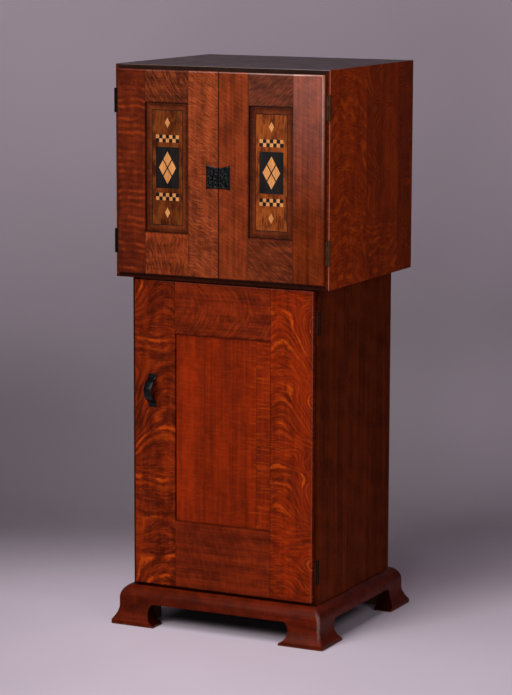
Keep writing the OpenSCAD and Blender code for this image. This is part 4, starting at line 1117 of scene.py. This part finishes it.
# Camera at the photograph's viewing point: place in metres, turns in degrees, focal length in pixels
EYE, YAW, PITCH, ROLL, FOCAL = (2.6092, -5.2815, 1.5522), -26.450, 9.187, 0.172, 2713.389
IMAGE_H, SENSOR = 695, 36.0


def basis(yaw, pitch, roll):
    fwd = Vector((math.sin(yaw) * math.cos(pitch), math.cos(yaw) * math.cos(pitch), -math.sin(pitch)))
    right = Vector((math.cos(yaw), -math.sin(yaw), 0.0))
    up = right.cross(fwd)
    r2 = right * math.cos(roll) + up * math.sin(roll)
    u2 = up * math.cos(roll) - right * math.sin(roll)
    return r2, u2, fwd


cam_data = bpy.data.cameras.new("camera")
cam = bpy.data.objects.new("camera", cam_data)
scene.collection.objects.link(cam)
r2, u2, fwd = basis(math.radians(YAW), math.radians(PITCH), math.radians(ROLL))
rot = Matrix((r2, u2, -fwd)).transposed().to_4x4()
cam.matrix_world = Matrix.Translation(Vector(EYE)) @ rot
cam_data.sensor_width = SENSOR
cam_data.lens = FOCAL / IMAGE_H * SENSOR
cam_data.clip_end = 100
scene.camera = cam

# Studio: pale paper sweep behind the object, clear from its back; soft light from above and the left front
SWEEP_D, SWEEP_R, SWEEP_TOP, SWEEP_FAR, SWEEP_STEPS = 1.0, 1.2, 6.0, 40.0, 16
# paper near the object, far off and up the wall; the change between them is painted light and shade
FLOOR_NEAR, FLOOR_FAR, WALL = (0.62, 0.540, 0.630), (0.215, 0.184, 0.212), (0.37, 0.312, 0.365)
away = Vector((fwd.x, fwd.y, 0.0)).normalized()
across = Vector((away.y, -away.x, 0.0))


def sweep_sheet():
    """Sheet on the floor that rises behind the object in a round bend."""
    prof = [(-SWEEP_FAR, 0.0), (SWEEP_D, 0.0)]
    for k in range(1, SWEEP_STEPS + 1):
        a = math.pi / 2 * k / SWEEP_STEPS
        prof.append((SWEEP_D + SWEEP_R * math.sin(a), SWEEP_R - SWEEP_R * math.cos(a)))
    prof.append((SWEEP_D + SWEEP_R, SWEEP_TOP))
    verts = []
    for d, z in prof:
        for side in (-SWEEP_FAR, SWEEP_FAR):
            q = away * d + across * side
            verts.append((q.x * 1000, q.y * 1000, z * 1000))
    faces = [(2 * i, 2 * i + 1, 2 * i + 3, 2 * i + 2) for i in range(len(prof) - 1)]
    return mesh_object("studio_sweep", verts, faces)


def paper_material():
    m, t, bsdf = new_material("studio_paper")
    x, y, z = coords_mm(t)
    # painted light and shade: the paper darkens away from the object and changes up the wall
    depth = add(t, mul(t, x, away.x), mul(t, y, away.y))
    paper = mix_color(t, smooth(t, depth, 60.0, 900.0), rgb(FLOOR_NEAR), rgb(FLOOR_FAR))
    paper = mix_color(t, smooth(t, z, 100.0, 1300.0), paper, rgb(WALL))
    # painted light and shade low down: lighter to the right far back, darker to the left
    span = add(t, mul(t, x, across.x), mul(t, y, across.y))
    low = smooth(t, z, 120.0, 420.0, 1.0, 0.0)
    painted_shading = mul(t, smooth(t, span, 0.0, 900.0), smooth(t, depth, 300.0, 900.0, -0.08, 0.55))
    painted_shading = sub(t, painted_shading, smooth(t, span, -150.0, -800.0, 0.0, 0.24))
    painted_shading = add(t, 1.0, mul(t, painted_shading, low))
    # deep shade on the floor under the case, behind the arches
    under = smooth(t, absolute(t, x), EDGE_X - 70.0, EDGE_X - 10.0, 1.0, 0.0)
    under = mul(t, under, smooth(t, absolute(t, y), EDGE_Y - 90.0, EDGE_Y - 30.0, 1.0, 0.0))
    painted_shading = mul(t, painted_shading, sub(t, 1.0, mul(t, under, 0.9)))
    paper = dimmed(t, paper, painted_shading)
    fibre = noise_node(t, combine(t, x, y, z), 0.002, 2.0, 0.5)
    fibre = smooth(t, fibre, 0.2, 0.8, 0.97, 1.03)
    surface(t, bsdf, dimmed(t, paper, fibre), 0.8, 0.1)
    clear = t.nodes.new("ShaderNodeBsdfTransparent")
    sides = t.nodes.new("ShaderNodeMixShader")
    t.links.new(t.nodes.new("ShaderNodeNewGeometry").outputs["Backfacing"], sides.inputs[0])
    t.links.new(bsdf.outputs[0], sides.inputs[1])
    t.links.new(clear.outputs[0], sides.inputs[2])
    out = next(n for n in t.nodes if n.type == "OUTPUT_MATERIAL")
    t.links.new(sides.outputs[0], out.inputs[0])
    return m


sweep = sweep_sheet()
assign(sweep, paper_material())


def area(name, at, aim, size, power, color):
    d = bpy.data.lights.new(name, "AREA")
    d.shape = "RECTANGLE"
    d.size, d.size_y = size
    d.energy = power
    d.color = color
    o = bpy.data.objects.new(name, d)
    o.location = at
    o.rotation_euler = (Vector(aim) - Vector(at)).to_track_quat("-Z", "Y").to_euler()
    scene.collection.objects.link(o)


area("key", (-0.8, -3.7, 3.0), (0.0, 0.0, 0.75), (1.8, 1.8), 108, (1.0, 0.97, 0.94))
area("over", (-0.3, -1.6, 3.9), (0.0, -0.1, 0.3), (2.4, 2.4), 70, (1.0, 0.98, 1.0))
area("card", (-1.35, -4.2, 1.15), (0.0, 0.0, 0.95), (0.8, 1.0), 11, (1.0, 0.96, 0.97))
area("strip", (1.7, -4.6, 0.8), (0.0, 0.0, 0.9), (0.5, 1.3), 26, (1.0, 0.96, 0.97))
area("fill", (3.2, -1.2, 2.3), (0.0, 0.0, 0.9), (1.4, 1.8), 18, (1.0, 0.96, 0.94))
world = bpy.data.worlds.new("studio")
world.use_nodes = True
bg = world.node_tree.nodes["Background"]
bg.inputs[0].default_value = (0.5, 0.45, 0.49, 1.0)
bg.inputs[1].default_value = 0.16
scene.world = world
scene.view_settings.view_transform = "Standard"
